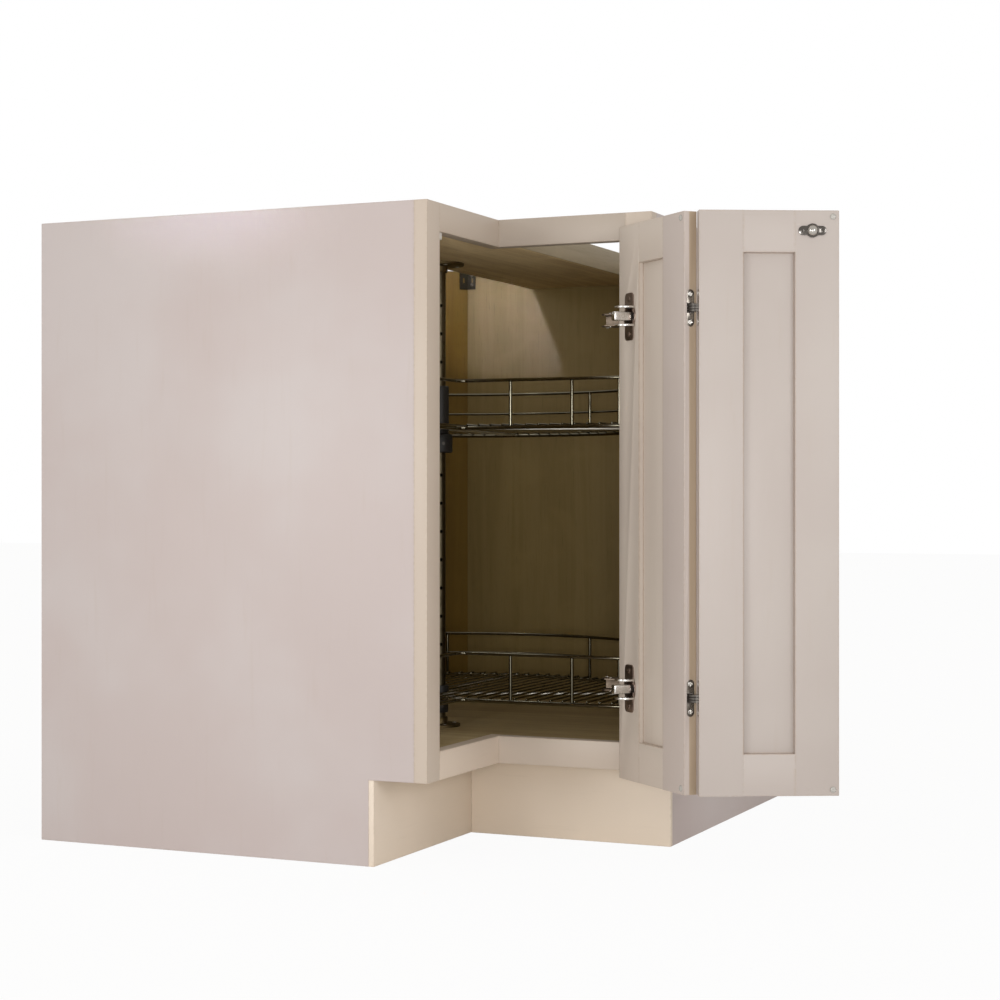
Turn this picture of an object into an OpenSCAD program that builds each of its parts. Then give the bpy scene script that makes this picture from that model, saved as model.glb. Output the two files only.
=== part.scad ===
// Corner carousel cabinet with a folding door pair. Millimetres.
// The carcass is drawn from the inner corner of its two short fronts, then moved so
// that the origin is on the floor where the two toe-kick boards meet.
// +X runs to the right along the right front, +Y to the back, +Z up.

/* [Carcass] */
// depth of each wing from its front to the wall
side_depth = 610; // [560:5:650]
// width of each short front
face_width = 228; // [220:1:260]
// height from floor to worktop
height = 876; // [850:1:900]
// thickness of the end panels
panel_t = 16; // [12:1:19]
// thickness of the back panels
back_t = 12; // [6:1:16]
// length cut off the back corner along each wall
back_clip = 280; // [200:5:300]
// thickness of the cabinet floor
deck_t = 16; // [12:1:18]
// height of the cabinet floor's top
deck_top = 140; // [136:1:148]
// height of the toe space
toe_height = 114; // [100:1:118]
// setback of the toe-kick boards' faces
toe_recess = 78; // [60:1:90]
// thickness of the toe-kick boards
toe_t = 8; // [6:1:12]

/* [Face frame] */
// thickness of the face frame
frame_t = 19; // [16:1:22]
// width of each stile and rail
frame_w = 38; // [34:1:40]

/* [Carousel board] */
// width of the board that holds the pole's top
board_w = 221; // [180:1:240]
// thickness of that board
board_t = 35; // [19:1:38]
// distance from the pole's axis to the board's left edge
board_left = 27; // [26:1:60]

/* [Top corner brackets] */
// height of a bracket
bracket_h = 31; // [20:1:40]
// width of each bracket flange
bracket_w = 15; // [12:1:20]
// thickness of a bracket's plate
bracket_t = 1.6; // [1:0.1:3]

/* [Door leaves] */
// how far a closed leaf covers the frame's stile
leaf_overlap = 11.5; // [10:0.5:14]
// drop of the leaves' top edge below the cabinet's top
leaf_drop = 22; // [19:1:40]
// height of the leaves' bottom edge
leaf_bottom = 106; // [100:1:114]
// thickness of each leaf
leaf_t = 19; // [18:1:20]
// gap between a closed leaf and the face frame
door_gap = 2.5; // [2.5:0.1:4]
// width of the leaf stiles
leaf_stile = 57; // [50:1:60]
// width of the leaf rails
leaf_rail = 54; // [48:1:60]
// thickness of the flat centre panels
centre_t = 6; // [5:0.5:8]
// angle the pair is swung open from closed
open_angle = 138; // [60:1:150]
// angle the pair is unfolded from square
unfold_angle = 21.5; // [0:0.5:25]

/* [Door hardware] */
// distance from the swing axis to the leaf's hinge edge
axis_inset = 4.6; // [4.2:0.1:4.8]
// distance of the hinges from the leaf's top and bottom edges
hinge_inset = 124; // [110:1:170]
// distance from the cups' centres to the leaf's hinge edge
cup_inset = 30.5; // [30:0.5:34]
// radius of a hinge cup
cup_r = 17.5; // [17:0.1:18]
// depth of a hinge cup
cup_depth = 12; // [10:0.1:13]
// height of a fold hinge plate
fold_plate_h = 48; // [40:1:60]
// width of a fold hinge plate
fold_plate_w = 11; // [10:0.5:12]

/* [Pole] */
// distance from the fronts' planes to the pole's axis
pole_inset = 178; // [175:1:190]
// diameter of the pole
pole_d = 20; // [18:0.5:20]
// wall of the pole's tube
pole_wall = 1.8; // [1.5:0.1:3]
// spacing of the height-setting holes
hole_pitch = 42.7; // [40:0.1:50]

/* [Trays] */
// room between the trays' rims and the diagonal back panel
tray_gap = 56; // [52:1:90]
// least room between the trays' rims and the end panels
end_gap = 40; // [36:1:80]
// distance from the pole's axis to each notch edge
notch_in = 64; // [60:1:70]
// height of the lower tray's rim
lower_z = 188; // [185:1:200]
// height of the upper tray's rim
upper_z = 589; // [480:1:620]
// height of the guard rail above the rim
rail_rise = 69; // [60:1:80]
// diameter of the rim wire
rim_d = 6; // [5:0.5:7]
// diameter of the floor wires
wire_d = 3; // [2.5:0.1:4]
// spacing of the floor wires
wire_pitch = 19; // [17:0.5:30]

/* [Hidden] */
$fn = 48;

span = side_depth + face_width;         // whole width of the unit
corner = toe_recess + toe_t / 2;        // origin's distance behind the fronts
notch_deep = toe_recess + toe_t;        // toe notch in the end panels
back_in = side_depth - back_t;          // inner face of the back panels
clip_mitre = back_t * tan(22.5);        // mitre of the clipped corner
clip_room = (2 * (side_depth - pole_inset) - back_clip) / sqrt(2) - back_t;
end_room = pole_inset + face_width - panel_t;
tray_r = min(clip_room - tray_gap, end_room - end_gap);   // radius of the trays' rim
leaf_h = height - leaf_drop - leaf_bottom;
opening_lo = toe_height + frame_w;
opening_hi = height - frame_w;
opening_w = face_width - frame_w;
board_z = height - board_t;
screw_sink = 6;                         // depth of a modelled screw shank
hinge_zs = [leaf_bottom + hinge_inset, leaf_bottom + leaf_h - hinge_inset];
fold_xy = door_gap + leaf_t;            // fold axis from the inner corner, closed
leaf_w = opening_w + leaf_overlap - fold_xy;
swing_x = fold_xy + leaf_w - axis_inset;
swing_y = -door_gap - leaf_t / 2;
recess = (leaf_t - centre_t) / 2;
cup_u = leaf_w - cup_inset;
strike_u = leaf_w - 34.5;               // strike from the fold edge
strike_z = leaf_bottom + leaf_h - 26;
bumper_in = 8;                          // bumper from the leaf's corner
link_in = 6;                            // fold links' inner radius
link_out = 13;                          // fold links' outer radius
link_h = 2.8;                           // height of one fold link
link_pitch = 3.6;                       // spacing of the links
pocket_h = 13;                          // height of the pocket the links enter
pocket_deep = 9;
run_gap = 0.3;                          // gap between turning and fixed faces
pole_r = pole_d / 2;
hub_r = 15;
collar_r = 20.5;
low_collar_r = 14;
collar_h = 28;
low_collar_h = 20;
rail_d = 5;                             // guard rail and upright wire
mid_rail_d = 4;
mid_rise = rail_rise * 0.53;
weld = 0.3;                             // depth to which welded wires sink in
arm_w = 14;
arm_t = 3;
edge_fillet = 25;                       // tray corners at the ends of the notch
notch_fillet = 15;                      // tray corner at the middle of the notch
fillet_x = sqrt(pow(tray_r - edge_fillet, 2) - pow(notch_in - edge_fillet, 2));
fillet_a = atan((notch_in - edge_fillet) / fillet_x);
quarter = 90;                           // degrees
hub_top_up = 66;                        // upper sleeve above its rim
hub_top_low = 14;                       // lower hub above its rim

// Placing

module cabinet() { translate([corner, -corner, 0]) children(); }

module at_pole() { cabinet() translate([-pole_inset, pole_inset, 0]) children(); }

// across the 45 degree plane that swaps the two wings
module swap() { mirror([1, 1, 0]) children(); }

// turns about the vertical line through (x, y)
module about(x, y, a) { translate([x, y, 0]) rotate([0, 0, a]) translate([-x, -y, 0]) children(); }

// a leaf's own frame: u from the fold edge, v from the front face, z from the floor
module leaf_space() { translate([fold_xy, -fold_xy, 0]) children(); }

module leaf_a() { cabinet() about(swing_x, swing_y, open_angle) leaf_space() children(); }

module leaf_b() {
    cabinet() about(swing_x, swing_y, open_angle) about(fold_xy, -fold_xy, -unfold_angle)
        swap() leaf_space() children();
}

module box(lo, hi) { translate(lo) cube(hi - lo); }

// Carcass

module end_panel() {
    difference() {
        box([-side_depth, -face_width, 0], [-frame_t, -face_width + panel_t, height]);
        box([-notch_deep, -face_width - 1, -1], [0, -face_width + panel_t + 1, toe_height]);
    }
}

module left_end_panel() { color([0.80, 0.75, 0.73]) cabinet() end_panel(); }

module right_end_panel() { color([0.80, 0.75, 0.73]) cabinet() swap() end_panel(); }

module back_panel() {
    linear_extrude(height)
        polygon([[back_clip - side_depth, side_depth], [face_width - panel_t, side_depth],
            [face_width - panel_t, back_in], [back_clip - side_depth + clip_mitre, back_in]]);
}

module right_back_panel() { color([0.55, 0.46, 0.36]) cabinet() back_panel(); }

module left_back_panel() { color([0.55, 0.46, 0.36]) cabinet() swap() back_panel(); }

module diagonal_back_panel() {
    out = back_clip - side_depth;
    color([0.50, 0.42, 0.33]) cabinet() linear_extrude(height)
        polygon([[out, side_depth], [out + clip_mitre, back_in],
            [-back_in, -out - clip_mitre], [-side_depth, -out]]);
}

module cabinet_floor() {
    lim = face_width - panel_t;
    cut = back_clip - side_depth + clip_mitre;
    color([0.58, 0.49, 0.38]) cabinet() translate([0, 0, deck_top - deck_t])
        linear_extrude(deck_t)
            polygon([[-back_in, -lim], [-frame_t, -lim], [-frame_t, frame_t], [lim, frame_t],
                [lim, back_in], [cut, back_in], [-back_in, -cut]]);
}

module left_stile() {
    color([0.74, 0.70, 0.64]) cabinet()
        box([-frame_t, -face_width, toe_height], [0, -opening_w, height]);
}

module right_stile() {
    color([0.74, 0.70, 0.64]) cabinet()
        box([opening_w, 0, toe_height], [face_width, frame_t, height]);
}

module left_rail(z) { box([-frame_t, -opening_w, z], [0, frame_t, z + frame_w]); }

module right_rail(z) { box([0, 0, z], [opening_w, frame_t, z + frame_w]); }

module left_top_rail() { color([0.73, 0.69, 0.62]) cabinet() left_rail(opening_hi); }

module right_top_rail() { color([0.72, 0.67, 0.61]) cabinet() right_rail(opening_hi); }

module left_bottom_rail() { color([0.73, 0.69, 0.62]) cabinet() left_rail(toe_height); }

module right_bottom_rail() { color([0.72, 0.67, 0.61]) cabinet() right_rail(toe_height); }

// a toe-kick board runs in front of the end panel's notch and reaches up to the floor inside it
module toe_step() {
    box([-notch_deep - 1, -face_width - 1, toe_height],
        [1 - toe_recess, panel_t - face_width, deck_top]);
}

module left_toe_kick() {
    color([0.66, 0.58, 0.48]) cabinet() difference() {
        box([-notch_deep, -face_width, 0], [-toe_recess, notch_deep, deck_top - deck_t]);
        toe_step();
    }
}

module right_toe_kick() {
    color([0.78, 0.71, 0.64]) cabinet() difference() {
        box([-toe_recess, toe_recess, 0], [face_width, notch_deep, deck_top - deck_t]);
        swap() toe_step();
    }
}

module carousel_board() {
    x = -pole_inset - board_left;
    color([0.48, 0.42, 0.34]) cabinet() difference() {
        box([x, -face_width + panel_t, board_z], [x + board_w, back_in, height]);
        box([-frame_t, -face_width, board_z - 1], [x + board_w + 1, frame_t, height + 1]);
    }
}

// two thin flanges on the inner faces on either side of a clipped corner
module bracket() {
    x = back_clip - side_depth + clip_mitre;
    g = bracket_t * tan(22.5);
    translate([x, back_in, height - bracket_h]) linear_extrude(bracket_h)
        polygon([[0, 0], [bracket_w, 0], [bracket_w, -bracket_t], [g, -bracket_t],
            [g - (bracket_w - g) * cos(45), -bracket_t - (bracket_w - g) * sin(45)],
            [-bracket_w * cos(45), -bracket_w * sin(45)]]);
}

module corner_brackets() {
    color([0.16, 0.15, 0.14]) cabinet() { bracket(); swap() bracket(); }
}

module bracket_heads() {
    x = back_clip - side_depth + clip_mitre + bracket_w * 0.6;
    for (z = [8, bracket_h - 8])
        translate([x, back_in - bracket_t, height - z]) rotate([90, 0, 0])
            cylinder(r = 3, h = 1.4);
}

// Door leaves

module plain_stile(u) {
    difference() {
        box([u, 0, leaf_bottom], [u + leaf_stile, leaf_t, leaf_bottom + leaf_h]);
        children();
    }
}

// a groove for the centre panel's edge is left out: the panel butts against the frame
module leaf_rail_at(z) { box([leaf_stile, 0, z], [leaf_w - leaf_stile, leaf_t, z + leaf_rail]); }

module centre_panel() {
    box([leaf_stile, recess, leaf_bottom + leaf_rail],
        [leaf_w - leaf_stile, recess + centre_t, leaf_bottom + leaf_h - leaf_rail]);
}

// the front corner at the fold is eased so the two leaves never rub
module eased_corner() {
    translate([0, 0, leaf_bottom - 1]) linear_extrude(leaf_h + 2)
        polygon([[-1, -1], [1, -1], [1, 0], [0, 1], [-1, 1]]);
}

module rounded_plate(depth, w, h) {
    for (s = [-1, 1])
        translate([0, 0, s * (h - w) / 2]) rotate([0, 90, 0]) cylinder(d = w, h = depth);
    box([0, -w / 2, -(h - w) / 2], [depth, w / 2, (h - w) / 2]);
}

fold_plate_t = 2;
fold_v = (link_in + link_out) / 2;

module fold_plate_seats() {
    for (z = hinge_zs) translate([0, fold_v, z]) rounded_plate(fold_plate_t, fold_plate_w, fold_plate_h);
}

module link_pocket(z) {
    box([-1, link_in * cos(40), z - pocket_h / 2], [pocket_deep, link_out + 0.5, z + pocket_h / 2]);
}

module fold_screw_holes(depth) {
    for (z = hinge_zs, s = [-1, 1])
        translate([0, fold_v, z + s * (fold_plate_h / 2 - 6)]) rotate([0, 90, 0])
            cylinder(r = 1.6, h = depth);
}

pin_r = 2;
pin_half = 9;                           // length of the pivot pin above and below its arm
pivot_t = 4;                            // thickness of the pivot arm
pivot_w = 5;
pivot_az = 112;                         // the arm's direction from the pin

// the slot in the leaf's edge that the fixed pivot arm stands in, and the bore for its pin
module pivot_slot(z) {
    half = pivot_t / 2 + 0.5;
    u = leaf_w - axis_inset;
    box([u - 7, 5, z - half], [leaf_w + 1, leaf_t + 1, z + half]);
    box([u - 1.3, -1, z - half], [leaf_w + 1, 6, z + half]);
    translate([u, leaf_t / 2, z - pin_half - 1]) cylinder(r = pin_r + run_gap, h = 2 * pin_half + 2);
}

module leaf_a_hinge_stile() {
    color([0.68, 0.63, 0.59]) leaf_a() plain_stile(leaf_w - leaf_stile) for (z = hinge_zs) {
        translate([cup_u, leaf_t - cup_depth, z]) rotate([-90, 0, 0])
            cylinder(r = cup_r, h = cup_depth + 1);
        pivot_slot(z);
    }
}

module leaf_a_fold_stile() {
    color([0.68, 0.63, 0.59]) leaf_a() plain_stile(0) {
        eased_corner();
        fold_plate_seats();
        for (z = hinge_zs) link_pocket(z);
        fold_screw_holes(fold_plate_t + screw_sink);
    }
}

module leaf_a_top_rail() {
    color([0.68, 0.63, 0.59]) leaf_a() leaf_rail_at(leaf_bottom + leaf_h - leaf_rail);
}

module leaf_a_bottom_rail() { color([0.68, 0.63, 0.59]) leaf_a() leaf_rail_at(leaf_bottom); }

module leaf_a_panel() { color([0.66, 0.60, 0.56]) leaf_a() centre_panel(); }

module leaf_b_fold_stile() {
    color([0.79, 0.75, 0.73]) leaf_b() plain_stile(0) {
        eased_corner();
        fold_plate_seats();
        fold_screw_holes(fold_plate_t + screw_sink);
    }
}

module leaf_b_free_stile() { color([0.79, 0.75, 0.73]) leaf_b() plain_stile(leaf_w - leaf_stile); }

module leaf_b_top_rail() {
    color([0.79, 0.75, 0.73]) leaf_b() leaf_rail_at(leaf_bottom + leaf_h - leaf_rail);
}

module leaf_b_bottom_rail() { color([0.79, 0.75, 0.73]) leaf_b() leaf_rail_at(leaf_bottom); }

module leaf_b_panel() { color([0.78, 0.74, 0.72]) leaf_b() centre_panel(); }

// Hinges between frame and leaf A

plate_t = 3;
body_len = 35;
body_h = 18;
body_y = [1.5, 27.5];
body_wall = 2;
wrap_t = 1.1;                           // the plate's fold onto the frame's front
wrap_w = 22;
pivot_reach = (-swing_y - wrap_t / 2) / sin(pivot_az);

// from the fold on the frame's front to the pin that the leaf turns on
module pivot_arm() {
    linear_extrude(pivot_t, center = true) difference() {
        translate([swing_x, swing_y]) {
            circle(r = 3.2);
            rotate(pivot_az) translate([0, -pivot_w / 2]) square([pivot_reach, pivot_w]);
        }
        translate([swing_x - pivot_reach, 0]) square([2 * pivot_reach, pivot_reach]);
    }
    translate([swing_x, swing_y, -pin_half]) cylinder(r = pin_r, h = 2 * pin_half);
}

module hinge_plates() {
    color([0.42, 0.41, 0.40]) cabinet() for (z = hinge_zs) {
        box([opening_w - plate_t, 0, z - 28], [opening_w, frame_t - 0.5, z + 28]);
        box([opening_w - 1, -wrap_t, z - 14], [opening_w + wrap_w, 0, z + 14]);
        difference() {
            box([opening_w - plate_t - body_len, body_y[0], z - body_h / 2],
                [opening_w - plate_t, body_y[1], z + body_h / 2]);
            box([opening_w - plate_t - body_len - 1, body_y[0] - 1, z - body_h / 2 + body_wall],
                [opening_w - plate_t, body_y[1] - body_wall, z + body_h / 2 - body_wall]);
        }
        translate([0, 0, z]) pivot_arm();
    }
}

module hinge_plate_heads() {
    for (z = hinge_zs, s = [-1, 1])
        translate([opening_w - plate_t, frame_t / 2, z + s * 20]) rotate([0, -90, 0])
            cylinder(r = 3.6, h = 2);
}

cup_wall = 1.2;
flange_t = 1.5;
flange_w = 24;
flange_h = 64;
flange_screw = 24;                      // flange screws above and below the cup
cup_floor = leaf_t - cup_depth;

module hinge_cups() {
    color([0.78, 0.78, 0.79]) leaf_a() for (z = hinge_zs) translate([cup_u, 0, z]) difference() {
        union() {
            translate([0, cup_floor, 0]) rotate([-90, 0, 0]) cylinder(r = cup_r, h = cup_depth);
            box([-flange_w / 2, leaf_t, -flange_h / 2], [flange_w / 2, leaf_t + flange_t, flange_h / 2]);
        }
        translate([0, cup_floor + cup_wall, 0]) rotate([-90, 0, 0])
            cylinder(r = cup_r - cup_wall - 3.5, h = cup_depth + 2);
    }
}

// two curved ears per hinge, above and below the plate's body
ear_t = 2.5;
ear_gap = body_h / 2 + 2;
ear_r = 15;
ear_bite = 13;                          // radius of the curve cut into an ear
bar_w = 10;
bar_h = 12;
bar_gap = 1;                            // from the closed bar's tip to the channel's back

module ear() {
    linear_extrude(ear_t) difference() {
        translate([-ear_r * 0.13, ear_r * 0.53]) circle(r = ear_r);
        translate([ear_bite * 0.7, ear_bite]) circle(r = ear_bite);
        translate([-2 * ear_r, flange_t - 2 * ear_r]) square([4 * ear_r, 2 * ear_r]);
    }
}

// a bar that stands in the cup and enters the body's channel as the leaf closes
module hinge_arms() {
    bar_tip = door_gap + leaf_t + body_y[1] - body_wall - bar_gap;
    color([0.80, 0.80, 0.81]) leaf_a() for (z = hinge_zs) {
        for (s = [ear_gap, -ear_gap - ear_t])
            translate([cup_u, leaf_t, z + s]) ear();
        box([cup_u - bar_w * 0.8, cup_floor + cup_wall, z - bar_h / 2],
            [cup_u + bar_w * 0.2, bar_tip, z + bar_h / 2]);
    }
}

module hinge_cup_screws() {
    color([0.70, 0.70, 0.70]) leaf_a() for (z = hinge_zs, s = [-1, 1])
        translate([cup_u, leaf_t + flange_t, z + s * flange_screw]) rotate([-90, 0, 0])
            cylinder(r = 3.8, h = 0.8);
}

// Hinges between the two leaves

module fold_plates_a() {
    color([0.78, 0.77, 0.75]) leaf_a() difference() {
        fold_plate_seats();
        for (z = hinge_zs) link_pocket(z);
        fold_screw_holes(fold_plate_t + 1);
    }
}

module fold_plates_b() {
    color([0.78, 0.77, 0.75]) leaf_b() difference() {
        fold_plate_seats();
        fold_screw_holes(fold_plate_t + 1);
    }
}

link_sweep = 96;

// in leaf B's frame the links leave its edge (u = 0) and turn towards leaf A
module fold_links() {
    color([0.30, 0.29, 0.28]) leaf_b() for (z = hinge_zs, k = [-1, 0, 1])
        translate([0, 0, z + k * link_pitch - link_h / 2]) rotate([0, 0, 90])
            rotate_extrude(angle = link_sweep) translate([link_in, 0])
                square([link_out - link_in, link_h]);
}

module fold_screws() {
    for (z = hinge_zs, s = [-1, 1])
        translate([0, fold_v, z + s * (fold_plate_h / 2 - 6)]) rotate([0, 90, 0])
            cylinder(r = 1.6, h = fold_plate_t + screw_sink);
}

module fold_screws_a() { color([0.62, 0.61, 0.60]) leaf_a() fold_screws(); }

module fold_screws_b() { color([0.62, 0.61, 0.60]) leaf_b() fold_screws(); }

// Catch and bumpers

strike_t = 1.5;
strike_w = 36;
strike_h = 12;
disc_r = 9;
dome_r = 7;

module catch_strike() {
    color([0.80, 0.79, 0.77]) leaf_b() translate([strike_u, leaf_t, strike_z]) {
        ear = (strike_w - strike_h) / 2;
        box([-ear, 0, -strike_h / 2], [ear, strike_t, strike_h / 2]);
        for (s = [-1, 1]) translate([s * ear, 0, 0]) rotate([-90, 0, 0])
            cylinder(d = strike_h, h = strike_t);
        rotate([-90, 0, 0]) cylinder(r = disc_r, h = strike_t + 0.5);
        translate([0, strike_t, 0]) rotate([-90, 0, 0]) {
            cylinder(r = dome_r, h = 1.5);
            intersection() {
                translate([0, 0, -2.5]) sphere(r = 8.5);
                translate([0, 0, 1.5]) cylinder(r = dome_r, h = 10);
            }
        }
    }
}

module strike_screws() {
    color([0.70, 0.70, 0.70]) leaf_b() for (s = [-1, 1])
        translate([strike_u + s * 13.5, leaf_t + strike_t, strike_z]) rotate([-90, 0, 0])
            cylinder(r = 3, h = 0.6);
}

module catch_body() {
    color([0.86, 0.85, 0.83]) cabinet()
        box([-17, -opening_w, opening_hi - 10], [-3, -opening_w + 14, opening_hi]);
}

module bumper(u, z) {
    translate([u, leaf_t, z]) rotate([-90, 0, 0]) cylinder(r = 4, h = 1.8);
}

module bumpers_a() {
    color([0.85, 0.85, 0.83]) leaf_a()
        for (z = [leaf_bottom + bumper_in, leaf_bottom + leaf_h - bumper_in]) bumper(bumper_in, z);
}

module bumpers_b() {
    color([0.85, 0.85, 0.83]) leaf_b()
        for (z = [leaf_bottom + bumper_in, leaf_bottom + leaf_h - bumper_in])
            bumper(leaf_w - bumper_in, z);
}

// Pole and bearings

hole_lo = 264;
hole_top = 60;                          // least distance of a hole below the board
hole_count = 1 + floor((board_z - hole_top - hole_lo) / hole_pitch);
top_flange_r = 38;
low_flange_r = 32;

module pole() {
    color([0.55, 0.54, 0.53]) at_pole() difference() {
        translate([0, 0, deck_top]) cylinder(r = pole_r, h = board_z - deck_top);
        translate([0, 0, deck_top - 1]) cylinder(r = pole_r - pole_wall, h = board_z - deck_top + 2);
        for (k = [0:hole_count - 1])
            translate([0, 0, hole_lo + k * hole_pitch]) rotate([90, 0, 45])
                cylinder(r = 2.6, h = pole_d + 4, center = true);
    }
}

module bearing(flange_r) {
    difference() {
        union() {
            cylinder(r = flange_r, h = 4);
            cylinder(r = pole_r + 3, h = 14);
        }
        translate([0, 0, -1]) cylinder(r = pole_r, h = 16);
    }
}

module top_bearing() {
    color([0.25, 0.24, 0.23]) at_pole() translate([0, 0, board_z]) mirror([0, 0, 1]) bearing(top_flange_r);
}

module bottom_bearing() {
    color([0.25, 0.24, 0.23]) at_pole() translate([0, 0, deck_top]) bearing(low_flange_r);
}

module bearing_heads() {
    for (a = [45:90:315]) rotate([0, 0, a]) {
        translate([25, 0, deck_top + 4]) cylinder(r = 3.5, h = 1.6);
        translate([29, 0, board_z - 4]) mirror([0, 0, 1]) cylinder(r = 3.5, h = 1.6);
    }
}

// the heads of all the screws that stay with the carcass
module carcass_screws() {
    color([0.45, 0.44, 0.43]) {
        cabinet() { bracket_heads(); swap() bracket_heads(); hinge_plate_heads(); }
        at_pole() bearing_heads();
    }
}

module collar(r, top, h) {
    at_pole() difference() {
        translate([0, 0, top - h]) cylinder(r = r, h = h);
        translate([0, 0, top - h - 1]) cylinder(r = pole_r, h = h + 2);
        translate([0, 0, top - h / 2]) rotate([90, 0, 45]) cylinder(r = 2.5, h = r + 1);
    }
}

upper_collar_top = upper_z - 7;
lower_collar_top = lower_z - 7;

module upper_collar() { color([0.20, 0.19, 0.18]) collar(collar_r, upper_collar_top, collar_h); }

module lower_collar() {
    color([0.20, 0.19, 0.18]) collar(low_collar_r, lower_collar_top, low_collar_h);
}

// set screws in the collars' sides, towards the doors
module collar_screws() {
    color([0.60, 0.60, 0.60]) at_pole() {
        translate([0, 0, upper_collar_top - collar_h / 2]) rotate([90, 0, 45])
            translate([0, 0, pole_r]) cylinder(r = 2.5, h = collar_r - pole_r);
        translate([0, 0, lower_collar_top - low_collar_h / 2]) rotate([90, 0, 45])
            translate([0, 0, pole_r]) cylinder(r = 2.5, h = low_collar_r - pole_r);
    }
}

// Trays: round with a square notch towards the doors

module arc_wire(r, d, from, sweep) {
    rotate([0, 0, from]) rotate_extrude(angle = sweep, $fn = 96) translate([r, 0]) circle(d = d, $fn = 16);
}

// each length of the ring is a hair thinner than the last and starts just inside it
module half_notch(d) {
    lap = 0.5;
    in = notch_in + notch_fillet;
    translate([fillet_x, edge_fillet - notch_in, 0])
        arc_wire(edge_fillet, d - 0.1, -quarter, quarter - fillet_a + lap * 180 / PI / edge_fillet);
    translate([in - lap, -notch_in, 0]) rotate([0, 90, 0])
        cylinder(d = d - 0.2, h = fillet_x - in + 2 * lap, $fn = 16);
}

module notched_ring(d) {
    arc_wire(tray_r, d, -fillet_a, 3 * quarter + 2 * fillet_a);
    half_notch(d);
    swap() half_notch(d);
    translate([notch_in + notch_fillet, -notch_in - notch_fillet, 0])
        arc_wire(notch_fillet, d - 0.1, quarter, quarter);
}

module tray_rim(z) { at_pole() translate([0, 0, z]) notched_ring(rim_d); }

function wire_lo(x) = x > notch_in ? -notch_in : -sqrt(tray_r * tray_r - x * x);

module wires(z) {
    n = floor((tray_r - 6) / wire_pitch);
    for (k = [-n:n]) {
        x = k * wire_pitch;
        lo = wire_lo(x) - 1;
        hi = sqrt(tray_r * tray_r - x * x) + 1;
        for (run = k == 0 ? [[lo, -hub_r + weld], [hub_r - weld, hi]] : [[lo, hi]])
            translate([x, run[0], z + rim_d / 2 + wire_d / 2 - weld]) rotate([-90, 0, 0])
                cylinder(d = wire_d, h = run[1] - run[0], $fn = 16);
    }
}

arm_top = rim_d / 2 - weld + 0.2;
long_arms = [22.5, 95, 180, 247.5];

module arms(z) {
    translate([0, 0, z + arm_top - arm_t]) {
        for (a = long_arms) rotate([0, 0, a])
            box([hub_r - 1, -arm_w / 2, 0], [tray_r - rim_d / 2 + 0.5, arm_w / 2, arm_t]);
        rotate([0, 0, -45])
            box([hub_r - 1, -arm_w / 2, 0], [notch_in * sqrt(2) + 3, arm_w / 2, arm_t]);
    }
}

module tray_floor(z) { at_pole() { arms(z); wires(z); } }

module hub(z, above) {
    at_pole() translate([0, 0, z]) difference() {
        translate([0, 0, -7 + run_gap]) cylinder(r = hub_r, h = above + 7 - run_gap);
        translate([0, 0, -8]) cylinder(r = pole_r + run_gap, h = above + 9);
    }
}

arc_posts = [for (k = [0:5]) 26.7 + k * 43.32];
edge_posts = [for (share = [0.461, 0.766, 0.995]) share * fillet_x];

module post() {
    translate([0, 0, rim_d / 2 - weld])
        cylinder(d = rail_d, h = rail_rise - rim_d / 2 - rail_d / 2 + 2 * weld, $fn = 16);
}

module tray_posts(z) {
    at_pole() translate([0, 0, z]) {
        for (a = arc_posts) rotate([0, 0, a]) translate([tray_r, 0, 0]) post();
        for (x = edge_posts) {
            translate([x, -notch_in, 0]) post();
            translate([notch_in, -x, 0]) post();
        }
    }
}

module tray_rail(z) { at_pole() translate([0, 0, z + rail_rise]) notched_ring(rail_d); }

// the lower guard wire runs round the outside of the posts
module guard_wire(z) {
    at_pole() translate([0, 0, z + mid_rise])
        arc_wire(tray_r + rail_d / 2 + mid_rail_d / 2 - weld, mid_rail_d,
            arc_posts[0] - 1, arc_posts[5] - arc_posts[0] + 2);
}

module upper_hub() { color([0.20, 0.19, 0.18]) hub(upper_z, hub_top_up); }

module lower_hub() { color([0.20, 0.19, 0.18]) hub(lower_z, hub_top_low); }

module upper_floor() { color([0.70, 0.70, 0.70]) tray_floor(upper_z); }

module lower_floor() { color([0.70, 0.70, 0.70]) tray_floor(lower_z); }

module upper_rim() { color([0.75, 0.75, 0.75]) tray_rim(upper_z); }

module lower_rim() { color([0.75, 0.75, 0.75]) tray_rim(lower_z); }

module upper_posts() { color([0.75, 0.75, 0.75]) tray_posts(upper_z); }

module lower_posts() { color([0.75, 0.75, 0.75]) tray_posts(lower_z); }

module upper_rail() { color([0.75, 0.75, 0.75]) tray_rail(upper_z); }

module lower_rail() { color([0.75, 0.75, 0.75]) tray_rail(lower_z); }

module upper_guard_wire() { color([0.75, 0.75, 0.75]) guard_wire(upper_z); }

module lower_guard_wire() { color([0.75, 0.75, 0.75]) guard_wire(lower_z); }

left_end_panel();
right_end_panel();
left_back_panel();
right_back_panel();
diagonal_back_panel();
cabinet_floor();
left_stile();
right_stile();
left_top_rail();
right_top_rail();
left_bottom_rail();
right_bottom_rail();
left_toe_kick();
right_toe_kick();
carousel_board();
corner_brackets();
carcass_screws();
leaf_a_hinge_stile();
leaf_a_fold_stile();
leaf_a_top_rail();
leaf_a_bottom_rail();
leaf_a_panel();
leaf_b_fold_stile();
leaf_b_free_stile();
leaf_b_top_rail();
leaf_b_bottom_rail();
leaf_b_panel();
hinge_plates();
hinge_cups();
hinge_arms();
hinge_cup_screws();
fold_plates_a();
fold_plates_b();
fold_links();
fold_screws_a();
fold_screws_b();
catch_strike();
strike_screws();
catch_body();
bumpers_a();
bumpers_b();
pole();
top_bearing();
bottom_bearing();
upper_collar();
lower_collar();
collar_screws();
upper_hub();
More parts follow.
